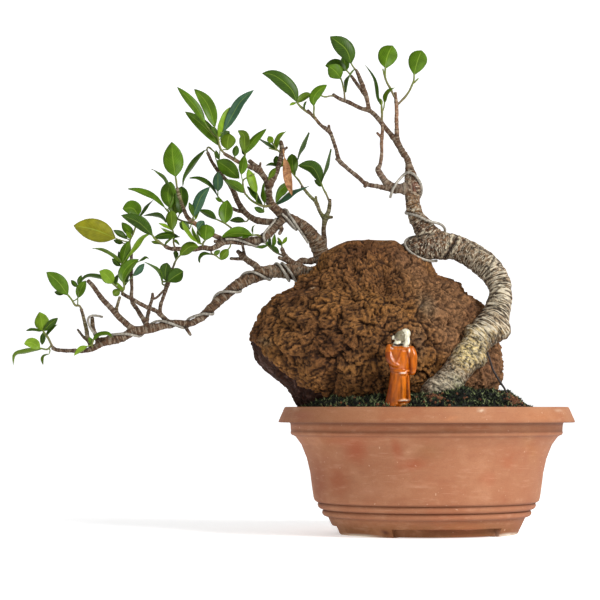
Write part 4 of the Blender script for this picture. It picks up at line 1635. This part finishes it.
def build_wood(look):
    """Trunk, limbs, bare twigs and fine roots as one ringed and cracked skin."""
    limbs = limb_bars()
    wires = [np.array([(*place(*row), radius) for row in grouped(path, 3)])
             for radius, _, *path in WIRES.values()]
    parts = Parts()
    for number, (name, _, bar) in enumerate(limbs):
        old = name in OLD_LIMBS
        points = bar.verts
        thick = bar.thick
        heavy = share((thick - 2.5) / 8.0)
        flat = seen(points)
        belt = share((flat[:, 1] - 190) / 20) * share((285 - flat[:, 1]) / 20)
        belt *= (name == "trunk") * (flat[:, 0] > 40)
        ring = np.array([noise.noise(Vector((s / 2.1, c * k, d * k + number)))
                         for s, c, d, k in zip(bar.reach, np.cos(bar.angle), np.sin(bar.angle),
                                               0.5 + 0.34 * thick * (1 - 0.75 * belt))])
        lift = ring * look.ridge / MM * (0.35 + 1.25 * heavy)
        lift += speckle(points, 11.0, 1.0) * 0.055 * thick
        lift += speckle(points, 4.2, 4.0) * (0.10 + 0.55 * heavy) + 0.2 * (thick < 3.0)
        join_limb(lift, points, thick, name, limbs)
        if name == "trunk":
            swell_burls(lift, points)
        dark = np.zeros(len(points))
        pale = np.zeros(len(points))
        if old:
            pale = cut_grooves(lift, dark, flat, share(-bar.normals[:, 1] * 2.2))
        darken_by_wires(dark, points, wires)
        bar.verts = points + bar.normals * lift[:, None]
        tone = bark_colours(look, bar, flat, heavy, pale, ring)
        lit = np.where(flat[:, 1] > 262, 0.8, 0.45) * (0.25 + 0.75 * heavy)
        lit = np.maximum(lit, 0.5) if old else lit * 0.4
        hollow = np.clip(-ring * 1.6 - 0.15, 0.0, 0.5) * (0.3 + 0.7 * heavy)
        parts.take(bar.skin(), tone=tone, lined=0.25 + 0.75 * belt, lit=lit,
                   dark=np.maximum(dark, hollow * (1.0 if old else 0.5)),
                   worn=0.45 + 0.55 * heavy)
    return parts.joined("banyan_wood", bark_material(look))


def leaf_grid(path, width, blunt, index, thick, ripple=1.0):
    """Skin of one curved leaf blade along a path in mm, and which corners are its underside."""
    line = smooth_path([tuple(p) for p in path], 0.8)
    run = run_of(line)
    length = run[-1]
    straight = sum((b - a).length for a, b in zip(path, path[1:]))
    broad = max(width, min(0.46 * straight, 14.0 if len(path) < 4 else 9.0), 3.0)
    turn = math.acos(min(1.0, width / broad)) * (1 if index % 2 else -1)
    rows = 16 if length > 20 else 12 if length > 11 else 8
    cols = 8 if broad > 7 else 6
    marks = np.linspace(0.0, 1.0, rows + 1)
    spots = np.stack([np.interp(marks * length, run, line[:, i]) for i in range(3)], 1)
    heading, first, _ = around(spots)
    flatwise = np.cross(heading, (0.0, 1.0, 0.0))
    weak = np.linalg.norm(flatwise, axis=1) < 0.05
    flatwise[weak] = first[weak]
    flatwise /= np.linalg.norm(flatwise, axis=1)[:, None]
    side = flatwise * math.cos(turn) + np.cross(heading, flatwise) * math.sin(turn)
    normal = np.cross(heading, side)
    half = np.interp(marks, *zip(*(BLUNT_SHAPE if blunt else LEAF_SHAPE))) * broad / 2
    fold = 0.30 * (1 if index % 3 else -1)
    lean = 0.05 * broad * np.tanh((marks - 0.4) * 6.0)
    across = np.linspace(-1.0, 1.0, cols + 1)
    upper = np.empty((rows + 1, cols + 1, 3))
    for i in range(rows + 1):
        for j, s in enumerate(across):
            lift = fold * half[i] * abs(s) ** 1.35 - lean[i] * s
            lift += ripple * 0.03 * broad * abs(s) ** 3 * math.sin(
                11.0 * marks[i] + 2.0 * index + (2.1 if s > 0 else 0.0))
            upper[i, j] = spots[i] + side[i] * (half[i] * s) + normal[i] * lift
    margin = 1.0 - 0.45 * np.abs(across) ** 3
    lower = upper - normal[:, None, :] * (thick * margin)[None, :, None]
    wide = cols + 1
    total = (rows + 1) * wide
    faces = []
    for a in [i * wide + j for i in range(rows) for j in range(cols)]:
        b = total + a
        faces += [(a, a + 1, a + wide + 1, a + wide), (b, b + wide, b + wide + 1, b + 1)]
    rim = [*range(cols), *range(cols, total - 1, wide), *range(total - 1, rows * wide, -1),
           *range(rows * wide, 0, -wide)]
    faces += [(b, a, total + a, total + b) for a, b in zip(rim, rim[1:] + rim[:1])]
    uv = [(mark_along, s) for mark_along in marks for s in across] * 2
    skin = (np.concatenate([upper, lower]).reshape(-1, 3), faces,
            [uv[corner] for face in faces for corner in face])
    return skin, np.repeat([0.0, 1.0], total)


def build_shoot(look, name, green, waxy):
    """One leafy shoot: green stems with every leaf on its stalk."""
    shades = {"L": look.lime, "M": look.middle, "D": look.dark, "T": look.teal,
              "O": look.olive, "Y": look.yellow}
    stems, leaves = SHOOTS[name]
    parts = Parts()
    lines = []
    green_stem = np.array(look.stem[:])
    brown_stem = np.array(linear("#6F5A40"))
    for number, (r0, r1, *rows) in enumerate(stems):
        points = [place(*row) for row in grouped(rows, 3)]
        count = len(points) - 1
        bar_rows = [(*p, r0 + (r1 - r0) * i / count) for i, p in enumerate(points)]
        bar = Bar(knuckled(smooth_path(bar_rows, 1.2), 0.21 * number + 0.013 * len(name)), 10)
        reach = bar.reach / max(bar.along[-1], 1e-6)
        mix = share(reach * 1.1 + (0.25 if number else 0.0))
        parts.take(bar.skin(), 1, tone=brown_stem + (green_stem - brown_stem) * mix[:, None],
                   under=0.0 * mix)
        lines += zip(points, points[1:])
    for index, (letter, width, lean, first, *rows) in enumerate(leaves):
        rows = grouped(rows, 2)
        # the stalk starts on the nearest stem
        spots = [a.lerp(b, k / 8) for a, b in lines for k in range(9)]
        root = min(spots, key=lambda p: (place(*rows[0], p.y) - p).length)
        path = [place(x, z, root.y + lean * (i + 1) / len(rows))
                for i, (x, z) in enumerate(rows)]
        stalk = [root] + path[:first]
        if (path[first] - stalk[-1]).length < 3.0:
            path[first] = stalk.pop()
        skin, under = leaf_grid(path[first:], width, letter.islower(), index,
                                look.thickness / MM)
        shade = np.array(shades[letter.upper()][:])
        leafy = shade * 0.5 + green_stem * 0.6
        shade[:3] *= 1.0 + 0.16 * noise.noise(Vector((index * 1.7, len(name) * 0.9, width)))
        parts.take(skin, 0, tone=coat(shade, len(under)), under=under)
        bar_rows = [(*p, 0.62) for p in stalk] + [(*path[first], 0.52)]
        heading = (path[first + 1] - path[first]).normalized()
        bar_rows.append((*(path[first] + heading * 1.6), 0.32))
        if len(bar_rows) > 2 and math.dist(bar_rows[0][:3], bar_rows[1][:3]) < 0.2:
            bar_rows.pop(0)
        skin = Bar(smooth_path(bar_rows, 1.4), 6).skin()
        parts.take(skin, 1, tone=coat(leafy, len(skin[0])), under=np.zeros(len(skin[0])))
    return parts.joined(name.replace("leaves", "shoot"), waxy, green)


def build_dry_leaf():
    """Withered leaf hanging from its stalk, curled along its length."""
    path = [place(x, z, 27.0 + 1.6 * math.sin(i * 1.4)) for i, (x, z) in enumerate(DRY_LEAF)]
    stalk = [(*place(*row), 0.7) for row in DRY_STALK] + [(*path[0], 0.6)]
    parts = Parts()
    parts.take(leaf_grid(path, DRY_WIDTH, False, 1, 0.5, 3.2)[0])
    parts.take(Bar(smooth_path(stalk, 1.4), 8).skin())
    return parts.joined("withered_leaf", dry_leaf_material())


def tree_of(name, **sockets):
    """New geometry tree with named inputs, and the outputs of its starting node."""
    tree = bpy.data.node_groups.new(name, "GeometryNodeTree")
    for label, kind in sockets.items():
        tree.interface.new_socket(name=label.replace("_", " "), in_out="INPUT",
                                  socket_type="NodeSocket" + kind)
    tree.interface.new_socket(name="Piece", in_out="OUTPUT", socket_type="NodeSocketGeometry")
    return tree, add(tree, "NodeGroupInput", out=None).outputs


def ended(tree, shape, finish):
    """Close a geometry tree with real corners and a finish."""
    whole = add(tree, "GeometryNodeRealizeInstances", {0: shape})
    dressed = add(tree, "GeometryNodeSetMaterial", {"Geometry": whole, "Material": finish})
    add(tree, "NodeGroupOutput", {0: dressed}, None)
    return tree


def grown(obj, tree, values):
    """Run a tree on an object with its named inputs set, and bake the result."""
    step = obj.modifiers.new(tree.name, "NODES")
    step.node_group = tree
    for item in tree.interface.items_tree:
        if item.item_type == "SOCKET" and item.in_out == "INPUT" and item.name in values:
            step[item.identifier] = values[item.name]
    return baked(obj)


def wire_tree():
    """Round wire that follows its path."""
    tree, start = tree_of("wire_along_path", Path="Geometry", Wire_Radius="Float", Sides="Int",
                          Finish="Material")
    ring = add(tree, "GeometryNodeCurvePrimitiveCircle",
               {"Resolution": start["Sides"], "Radius": start["Wire Radius"]})
    smooth = add(tree, "GeometryNodeCurveSplineType", {"Curve": start["Path"]},
                 spline_type="NURBS")
    fine = add(tree, "GeometryNodeResampleCurve", {"Curve": smooth, "Length": 0.0012},
               mode="LENGTH")
    solid = add(tree, "GeometryNodeCurveToMesh",
                {"Curve": fine, "Profile Curve": ring, "Fill Caps": True})
    return ended(tree, add(tree, "GeometryNodeSetShadeSmooth", {0: solid}), start["Finish"])


def hold_off(path, bark, room, close):
    """Push a wire's path clear of the bark, or lay it on the bark."""
    out = []
    for p in path:
        near, normal, _, gap = bark.find_nearest(p)
        d = -gap if (p - near).dot(normal) < 0 else gap
        if close or d < room:
            away = (p - near).normalized() if d > 0.05 else normal
            p = near + away * room
        out.append(p)
    return out


def build_wires(look):
    """Training wires, each one bent bar lying on the bark."""
    bm = bmesh.new()
    bm.from_mesh(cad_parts["wood"].data)
    bmesh.ops.remove_doubles(bm, verts=bm.verts, dist=1e-6)
    bm.transform(Matrix.Translation((0.0, 0.0, FOOT)) @ Matrix.Scale(1.0 / MM, 4))
    bark = BVHTree.FromBMesh(bm)
    bm.free()
    tree = wire_tree()
    finish = wire_material(look)
    for name, (radius, close, *rows) in WIRES.items():
        path = [Vector(p) for p in smooth_path([place(*row) for row in grouped(rows, 3)], 5.0)]
        room = radius + 0.25
        path = hold_off(path, bark, room, close)
        for _ in range(3):
            inner = [a * 0.25 + b * 0.5 + c * 0.25 for a, b, c in zip(path, path[1:], path[2:])]
            path = hold_off([path[0], *inner, path[-1]], bark, room, False)
        fine = [Vector(p) for p in smooth_path(path, 1.6)]
        fine = hold_off(fine, bark, radius + 0.05, False)
        curve = bpy.data.curves.new(name, "CURVE")
        curve.dimensions = "3D"
        spline = curve.splines.new("POLY")
        spline.points.add(len(fine) - 1)
        for point, spot in zip(spline.points, from_mm(fine)):
            point.co = (*spot, 1.0)
        piece = grown(linked(name.replace("wire", "training_wire"), curve), tree,
                      {"Wire Radius": radius * MM, "Sides": look.sides, "Finish": finish})
        dress(piece, "wire_grey", name)


def build_stick():
    """Thin dead twig leaning from the soil to the trunk."""
    rows = [(*place(*row), 1.0) for row in TWIG_POINTS]
    parts = Parts()
    parts.take(Bar(knuckled(smooth_path(rows, 1.0), 2.2), 14).skin())
    return parts.joined("leaning_twig", twig_material())


def moss_height(x, y):
    """Height of the moss over a place on the soil."""
    tall = np.interp(seen(np.stack([x, y, 0.0 * x], 1))[:, 0], *zip(*MOSS_HEIGHTS)) - MOSS_BASE
    return MOSS_BASE + tall * np.interp(np.hypot(x, y), (0.0, 90.0, 109.0, 126.0),
                                    (1.0, 1.0, 0.82, 0.16))


def build_moss(look):
    """Cushion of moss over the soil."""
    sides = 240
    angle = round_angles(sides)
    radii = np.concatenate([np.linspace(4.0, 96.0, 34), np.linspace(98.5, 125.5, 12)])
    middle = np.zeros(1)
    verts = [(0.0, 0.0, moss_height(middle, middle)[0])]
    for r in radii:
        edge = share((r - 100.0) / 26.0)
        ragged = np.array([noise.noise(Vector((5 * math.cos(a), 5 * math.sin(a), 2.0)))
                           for a in angle]) * 4.0 * edge
        x = (r + ragged) * np.sin(angle)
        y = -(r + ragged) * np.cos(angle)
        spots = np.stack([x, y, np.zeros(sides)], 1)
        heap = flakes(spots, 7.5, 3.0)[0]
        lump = 2.4 * speckle(spots, 12.0, 7.0) + 4.4 * (0.5 - heap) + speckle(spots, 3.2, 3.0)
        px = seen(spots)[:, 0]
        # the moss thins out in front of the figurine and stops short of the rim's ends
        low = falloff(px + 28, 24) * share((-82 - y) / 8)
        low = np.maximum(low, share((np.abs(px + 14) - 112) / 8))
        z = moss_height(x, y) - 1.6 + lump
        z = np.maximum(z + (SOIL_TOP + 0.3 - z) * low, SOIL_TOP + 0.3)
        verts += list(zip(x, y, z))
    verts += [(x, y, SOIL_TOP + 0.2) for x, y, _ in verts[-sides:]]
    faces = (grid_faces(len(radii) + 1, sides) + 1)[:, ::-1].tolist()
    faces += [(0, 1 + c, 1 + (c + 1) % sides) for c in range(sides)]
    faces.append(tuple(range(len(verts) - sides, len(verts))))
    return make_solid("moss_cushion", verts, faces, [moss_material(look)])


def cover_tree():
    """Leaning fronds or crumbs scattered over a surface."""
    tree, start = tree_of("ground_cover", Ground="Geometry", Density="Float", Height="Float",
                          Width="Float", Lean="Float", Crumbs="Bool", Seed="Int",
                          Finish="Material")
    seed, width, lean = start["Seed"], start["Width"], start["Lean"]
    grows = add(tree, "GeometryNodeInputNamedAttribute", {"Name": "grows"}, data_type="FLOAT")
    dense = add(tree, "ShaderNodeMath", {0: start["Density"], 1: grows}, operation="MULTIPLY")
    spots = add(tree, "GeometryNodeDistributePointsOnFaces",
                {"Mesh": start["Ground"], "Density": dense, "Seed": seed},
                distribute_method="RANDOM")
    chance = add(tree, "FunctionNodeRandomValue", {2: 0.0, 3: 1.0, "Seed": seed}, 1,
                 data_type="FLOAT")
    spots = add(tree, "GeometryNodeStoreNamedAttribute",
                {0: spots, "Name": "chance", "Value": chance}, data_type="FLOAT",
                domain="POINT")
    cone = add(tree, "GeometryNodeMeshCone", {"Vertices": 3, "Radius Top": 0.0,
               "Radius Bottom": width, "Depth": start["Height"]}, fill_type="NONE")
    ball = add(tree, "GeometryNodeMeshIcoSphere", {"Subdivisions": 1, "Radius": width})
    shape = add(tree, "GeometryNodeSwitch",
                {"Switch": start["Crumbs"], "False": cone, "True": ball}, input_type="GEOMETRY")
    back = add(tree, "ShaderNodeMath", {0: lean, 1: -1.0}, operation="MULTIPLY")
    low = add(tree, "ShaderNodeCombineXYZ", {0: back, 1: back, 2: 0.0})
    high = add(tree, "ShaderNodeCombineXYZ", {0: lean, 1: lean, 2: 6.283})
    tilt = add(tree, "FunctionNodeRandomValue", {0: low, 1: high, "Seed": seed},
               data_type="FLOAT_VECTOR")
    size = add(tree, "FunctionNodeRandomValue", {2: 0.55, 3: 1.3, "Seed": seed}, 1,
               data_type="FLOAT")
    many = add(tree, "GeometryNodeInstanceOnPoints",
               {"Points": spots, "Instance": shape, "Rotation": tilt, "Scale": size})
    return ended(tree, many, start["Finish"])


def cover(ground, name, tree, grows, values):
    """Scatter fronds or crumbs over a copy of the ground where they may grow."""
    obj = linked(name, ground.data.copy())
    mark(obj.data, {"grows": grows})
    return grown(obj, tree, values)


def build_ground(look):
    """Soil, moss, moss fronds and crumbs of soil."""
    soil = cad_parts["soil"]
    soil.data.materials.clear()
    soil.data.materials.append(earth_material(look))
    moss = build_moss(look)
    dress(moss, "moss_green", "moss")
    where = corners_of(moss)
    x = seen(where)[:, 0]
    y = where[:, 1]
    # nothing grows under the rock or out on its worn edge
    _, left, right, _, _ = ROCK_LEVELS[1]
    under = np.hypot((where[:, 0] - (left + right) / 2) / ((right - left) / 2 - 8),
                     (y + 3) / 50.0) < 1.0
    hidden = under | (where[:, 2] < SOIL_TOP + 0.5)
    bare = np.maximum.reduce([oval(x - 88, y + 70, 13, 46, 1.2), oval(x + 90, y + 96, 12, 24, 1.2),
                              oval(x - 10, y + 112, 14, 14, 1.2)])
    worn = speckle(where, 10.0, 21.0)
    grows = np.clip(1.0 - 0.9 * bare - 0.7 * share(worn * 2.0), 0.08, 1.0)
    litter = share(bare + share(worn) * 0.2 + 0.01)
    tree = cover_tree()
    fronds = cover(moss, "moss_fronds", tree, np.where(hidden, 0.0, grows), {
        "Density": look.fronds, "Height": look.frond, "Width": look.frond_width,
        "Lean": look.frond_lean, "Crumbs": False, "Seed": 11,
        "Finish": moss.data.materials[0]})
    dress(fronds, "moss_green")
    crumbs = cover(moss, "soil_crumbs", tree, np.where(hidden, 0.0, litter), {
        "Density": look.crumbs, "Width": look.crumb, "Lean": 3.0, "Crumbs": True, "Seed": 5,
        "Finish": earth_material(look)})
    dress(crumbs, "earth")


def pressed_figure():
    """Body of the figurine: its robe, round parts, sleeves and folds melted into one skin."""
    sides = 72
    rings = smooth_path(ROBE_RINGS, 1.0)
    angle = round_angles(sides)
    floor = SOIL_TOP + 0.3
    verts = []
    for z, left, right, half in rings:
        loose = share((165.0 - z) / 30.0)
        ripple = 1.0 + loose * (0.022 * np.cos(5 * angle + 0.6) + 0.01 * np.cos(11 * angle))
        x = (left + right) / 2 + (right - left) / 2 * np.cos(angle) * (1 + 0.4 * (ripple - 1))
        y = FIGURE_DEPTH + half * np.sin(angle) * ripple
        for a, b in zip(x, y):
            p = place(a, z, b)
            verts.append((p.x, p.y, max(p.z, floor) if len(verts) >= sides else floor))
    shell = make_solid("glazed_figure", verts, capped_faces(len(rings), sides))
    bm = bmesh.new()
    bm.from_mesh(shell.data)
    for x, z, y, rx, ry, rz, lean, roll in FIGURE_BALLS:
        turn = Euler((math.radians(lean), math.radians(roll), 0)).to_matrix().to_4x4()
        size = Matrix.Diagonal((rx * MM, ry * MM, rz * MM, 1.0))
        spot = Matrix.Translation(from_mm(place(x, z, FIGURE_DEPTH + y)))
        bmesh.ops.create_uvsphere(bm, u_segments=28, v_segments=18, radius=1.0,
                                  matrix=spot @ turn @ size)
    for rows in FIGURE_BARS:
        line = [(*place(x, z, FIGURE_DEPTH + y), r) for x, z, y, r in grouped(rows, 4)]
        verts, faces, _ = Bar(smooth_path(line, 1.0), 20).skin()
        fold = make_solid("fold", verts, faces)
        bm.from_mesh(fold.data)
        bpy.data.objects.remove(fold)
    bm.to_mesh(shell.data)
    bm.free()
    remesh = shell.modifiers.new("skin", "REMESH")
    remesh.mode = "VOXEL"
    remesh.voxel_size = FIGURE_CELL * MM
    melt = shell.modifiers.new("melt", "SMOOTH")
    melt.factor = 0.5
    melt.iterations = 5
    figure = baked(shell)
    where = corners_of(figure)
    where[:, 2] = np.maximum(where[:, 2], floor)
    figure.data.vertices.foreach_set("co", from_mm(where).reshape(-1))
    return figure, where


def build_figure(look):
    """Robed old figure pressed in clay and glazed, one body with its base."""
    figure, where = pressed_figure()
    mesh = figure.data
    flat = seen(where)
    x, z = flat.T
    depth = where[:, 1] - FIGURE_DEPTH
    front = depth < 0
    tone = coat(look.robe, len(where))

    def stroke(code, strength, width, *line, limit=0):
        """Brush a line on the front."""
        weight = strength * falloff(line_distance(flat, line), width) * (depth < limit)
        blend(tone, code, weight)

    blend(tone, "#C86E14", 0.75 * falloff(x + 22, 5) * (z < 164) * front)
    blend(tone, "#7A2A08", 0.65 * falloff(x + 38, 8) * (z < 186))
    stroke("#8A3108", 0.6, 1.8, -25, 188, -28, 180, -29, 173)
    stroke("#6B2406", 0.8, 1.9, -18.4, 186, -16.4, 176, -15.4, 165)
    blend(tone, "#8A3408", 0.4 * falloff(z - 169.4, 2.0))
    stroke("#5E2008", 0.7, 2.6, -29, 131, -25, 134.6, -21, 133.6)
    blend(tone, "#E8B27A", 0.55 * falloff(z - 138.6, 1.6) * falloff(x + 21, 7) * front)
    blend(tone, "#B57B3C", share((z < 134.6) * falloff(x + 20, 7) * (depth < -6) * 2))
    # head: cream hair at the back and right, bare clay face, cream beard
    head = share((z - np.interp(x, *zip(*FIGURE_COLLAR))) / 0.5)
    # the face is a slanted oblong between the cap, the lock and the beard
    lean = ((x + 25.6) * 0.866 + (z - 201.2) * 0.5) / 5.6
    rise = (-(x + 25.6) * 0.5 + (z - 201.2) * 0.866) / 6.2
    lock = line_distance(flat, (-18.2, 203, -18.6, 198, -19.6, 194, -21.6, 191.6))
    beard = line_distance(flat, (-32, 192.6, -30, 194.4, -26.6, 195.4))
    face = share(4.5 * (1.06 - (np.abs(lean) ** 3.2 + np.abs(rise) ** 3.2)))
    face *= (depth < 2.0) * (x > -32.0) * (lock > 2.4) * (beard > 1.9)
    headed = coat(look.hair, len(where))
    blend(headed, look.face, face)
    tone += (headed - tone) * head[:, None]
    stroke("#5E5644", 0.5, 0.7, -30.6, 204.2, -28, 204.8, -24, 204.4, limit=-3)
    eyes = oval(x + 24.9, z - 202.7, 1.2, 0.9, 1.0) + oval(x + 29.4, z - 202.4, 0.9, 0.7, 1.0)
    blend(tone, "#5A3220", share(eyes) * 0.85 * (depth < -3))
    stroke("#5B4048", 0.8, 0.8, -31.6, 199.4, -29.4, 199.2, -27.6, 198.2, limit=-3)
    throat = falloff(line_distance(flat, (-31.4, 193.4, -28.2, 192.6, -24, 193.2)), 1.7)
    blend(tone, "#1A0C08", np.clip(1.6 * throat, 0, 0.97) * front)
    for spot_x, spot_z, wide, tall in FIGURE_GLINTS:
        blend(tone, "#FBEEDC", 0.95 * oval(x - spot_x, z - spot_z, wide, tall, 1.5) * front)
    mark(mesh, {"tone": tone, "bare": head * face})
    mesh.materials.clear()
    mesh.materials.append(glaze_material())
    mesh.polygons.foreach_set("use_smooth", [True] * len(mesh.polygons))
    mesh.update()
    return figure


def aimed(name, data, spot, target):
    """Light or camera at a spot, turned towards a target."""
    obj = linked(name, data)
    obj.location = spot
    obj.rotation_euler = (Vector(target) - Vector(spot)).to_track_quat("-Z", "Y").to_euler()
    return obj


def lamp(name, power, size, spot, target):
    """Soft square light."""
    data = bpy.data.lights.new(name, "AREA")
    data.energy = power
    data.size = size
    aimed(name, data, spot, target)


def build_stage(look):
    """Seamless pale floor that curves up behind, soft lights and the camera."""
    rows = [(-3.4, -0.0002), (-1.0, -0.0002), (2.4, -0.0002)]
    rows += [(2.4 + 1.4 * math.sin(a), 1.3998 - 1.4 * math.cos(a))
             for a in np.linspace(0.1, math.pi / 2, 14)]
    rows += [(3.8, 4.4)]
    verts = [(x / MM, y / MM, z / MM + FOOT) for y, z in rows for x in (-4.5, 4.5)]
    faces = [(i, i + 1, i + 3, i + 2) for i in range(0, 2 * len(rows) - 2, 2)]
    make_mesh("studio_floor", verts, faces, [paper_material(look)])

    scene = bpy.context.scene
    scene.world = scene.world or bpy.data.worlds.new("soft_sky")
    scene.world.use_nodes = True
    back = scene.world.node_tree.nodes["Background"]
    back.inputs["Color"].default_value = (1.0, 1.0, 1.0, 1.0)
    back.inputs["Strength"].default_value = look.sky
    scene.view_settings.view_transform = "Standard"

    lamp("key_light", look.key, 0.8, (1.35, -1.35, 1.45), (-0.05, 0.0, 0.2))
    lamp("fill_light", look.fill, 1.6, (-0.9, -2.2, 0.9), (-0.1, 0.0, 0.2))
    data = bpy.data.cameras.new("camera")
    data.lens = LENS
    data.sensor_width = 36.0
    data.clip_end = 50.0
    scene.camera = aimed("camera", data, from_mm((SIGHT_X, -SIGHT_DISTANCE, SIGHT_Z)),
                         from_mm((SIGHT_X, 0.0, AIM_Z)))


class BONSAI_OT_bowl(bpy.types.Operator):
    """Build the terracotta bowl"""
    bl_idname = "bonsai.bowl"
    bl_label = "Build bowl"

    def execute(self, context):
        dress(build_bowl(context.scene.bonsai_bowl), "terracotta", "bowl")
        return {"FINISHED"}


class BONSAI_OT_rock(bpy.types.Operator):
    """Build the rock that the roots sit on"""
    bl_idname = "bonsai.rock"
    bl_label = "Build rock"

    def execute(self, context):
        dress(build_rock(context.scene.bonsai_rock), "rock_brown", "rock")
        return {"FINISHED"}


class BONSAI_OT_ground(bpy.types.Operator):
    """Build the soil, the moss and what lies on them"""
    bl_idname = "bonsai.ground"
    bl_label = "Build ground"

    def execute(self, context):
        build_ground(context.scene.bonsai_ground)
        return {"FINISHED"}


class BONSAI_OT_wood(bpy.types.Operator):
    """Build the trunk, limbs, twigs and the leaning dead twig"""
    bl_idname = "bonsai.wood"
    bl_label = "Build wood"

    def execute(self, context):
        dress(build_wood(context.scene.bonsai_wood), "bark", "wood")
        dress(build_stick(), "stick", "stick")
        return {"FINISHED"}


class BONSAI_OT_leaves(bpy.types.Operator):
    """Build every leafy shoot and the withered leaf"""
    bl_idname = "bonsai.leaves"
    bl_label = "Build leaves"

    def execute(self, context):
        waxy = leaf_material()
        green = stem_material()
        for name, (_, leaves) in SHOOTS.items():
            shoot = build_shoot(context.scene.bonsai_leaf, name, green, waxy)
            young = sum(leaf[0] == "L" for leaf in leaves) * 2 > len(leaves)
            dress(shoot, "leaf_young" if young else "leaf_green", name)
        dress(build_dry_leaf(), "leaf_dry", "dry_leaf")
        return {"FINISHED"}


class BONSAI_OT_wires(bpy.types.Operator):
    """Bend the training wires round the limbs"""
    bl_idname = "bonsai.wires"
    bl_label = "Build wires"

    def execute(self, context):
        build_wires(context.scene.bonsai_wire)
        return {"FINISHED"}


class BONSAI_OT_figure(bpy.types.Operator):
    """Build the glazed figurine"""
    bl_idname = "bonsai.figure"
    bl_label = "Build figurine"

    def execute(self, context):
        dress(build_figure(context.scene.bonsai_figure), "glazed_clay", "figurine")
        return {"FINISHED"}


class BONSAI_OT_stage(bpy.types.Operator):
    """Build the floor, lights and camera"""
    bl_idname = "bonsai.stage"
    bl_label = "Build stage"

    def execute(self, context):
        build_stage(context.scene.bonsai_stage)
        return {"FINISHED"}


class BONSAI_PT_panel(bpy.types.Panel):
    """Lists the bonsai's pieces and their settings"""
    bl_idname = "BONSAI_PT_panel"
    bl_label = "Chinese banyan bonsai"
    bl_space_type = "VIEW_3D"
    bl_region_type = "UI"
    bl_category = "Bonsai"

    def draw(self, context):
        for operator, name, group in STEPS:
            box = self.layout.box()
            box.operator(operator.bl_idname)
            for setting in group.__annotations__:
                box.prop(getattr(context.scene, name), setting)


# Every step in the order of building: its operator, and its settings and what they are called.
STEPS = (
    (BONSAI_OT_bowl, "bonsai_bowl", BonsaiBowlSettings),
    (BONSAI_OT_rock, "bonsai_rock", BonsaiRockSettings),
    (BONSAI_OT_ground, "bonsai_ground", BonsaiGroundSettings),
    (BONSAI_OT_wood, "bonsai_wood", BonsaiWoodSettings),
    (BONSAI_OT_leaves, "bonsai_leaf", BonsaiLeafSettings),
    (BONSAI_OT_wires, "bonsai_wire", BonsaiWireSettings),
    (BONSAI_OT_figure, "bonsai_figure", BonsaiFigureSettings),
    (BONSAI_OT_stage, "bonsai_stage", BonsaiStageSettings),
)


def register():
    """Add the settings, operators and panel."""
    for operator, name, group in STEPS:
        bpy.utils.register_class(group)
        setattr(bpy.types.Scene, name, PointerProperty(type=group))
        bpy.utils.register_class(operator)
    bpy.utils.register_class(BONSAI_PT_panel)


def unregister():
    """Remove the settings, operators and panel."""
    bpy.utils.unregister_class(BONSAI_PT_panel)
    for operator, name, group in reversed(STEPS):
        bpy.utils.unregister_class(operator)
        delattr(bpy.types.Scene, name)
        bpy.utils.unregister_class(group)


def main():
    """Build every piece in order and note the sizes."""
    register()
    bpy.ops.bonsai.bowl()
    bpy.ops.bonsai.rock()
    bpy.ops.bonsai.ground()
    bpy.ops.bonsai.wood()
    bpy.ops.bonsai.leaves()
    bpy.ops.bonsai.wires()
    bpy.ops.bonsai.figure()
    bpy.ops.bonsai.stage()


if __name__ == "__main__":
    main()
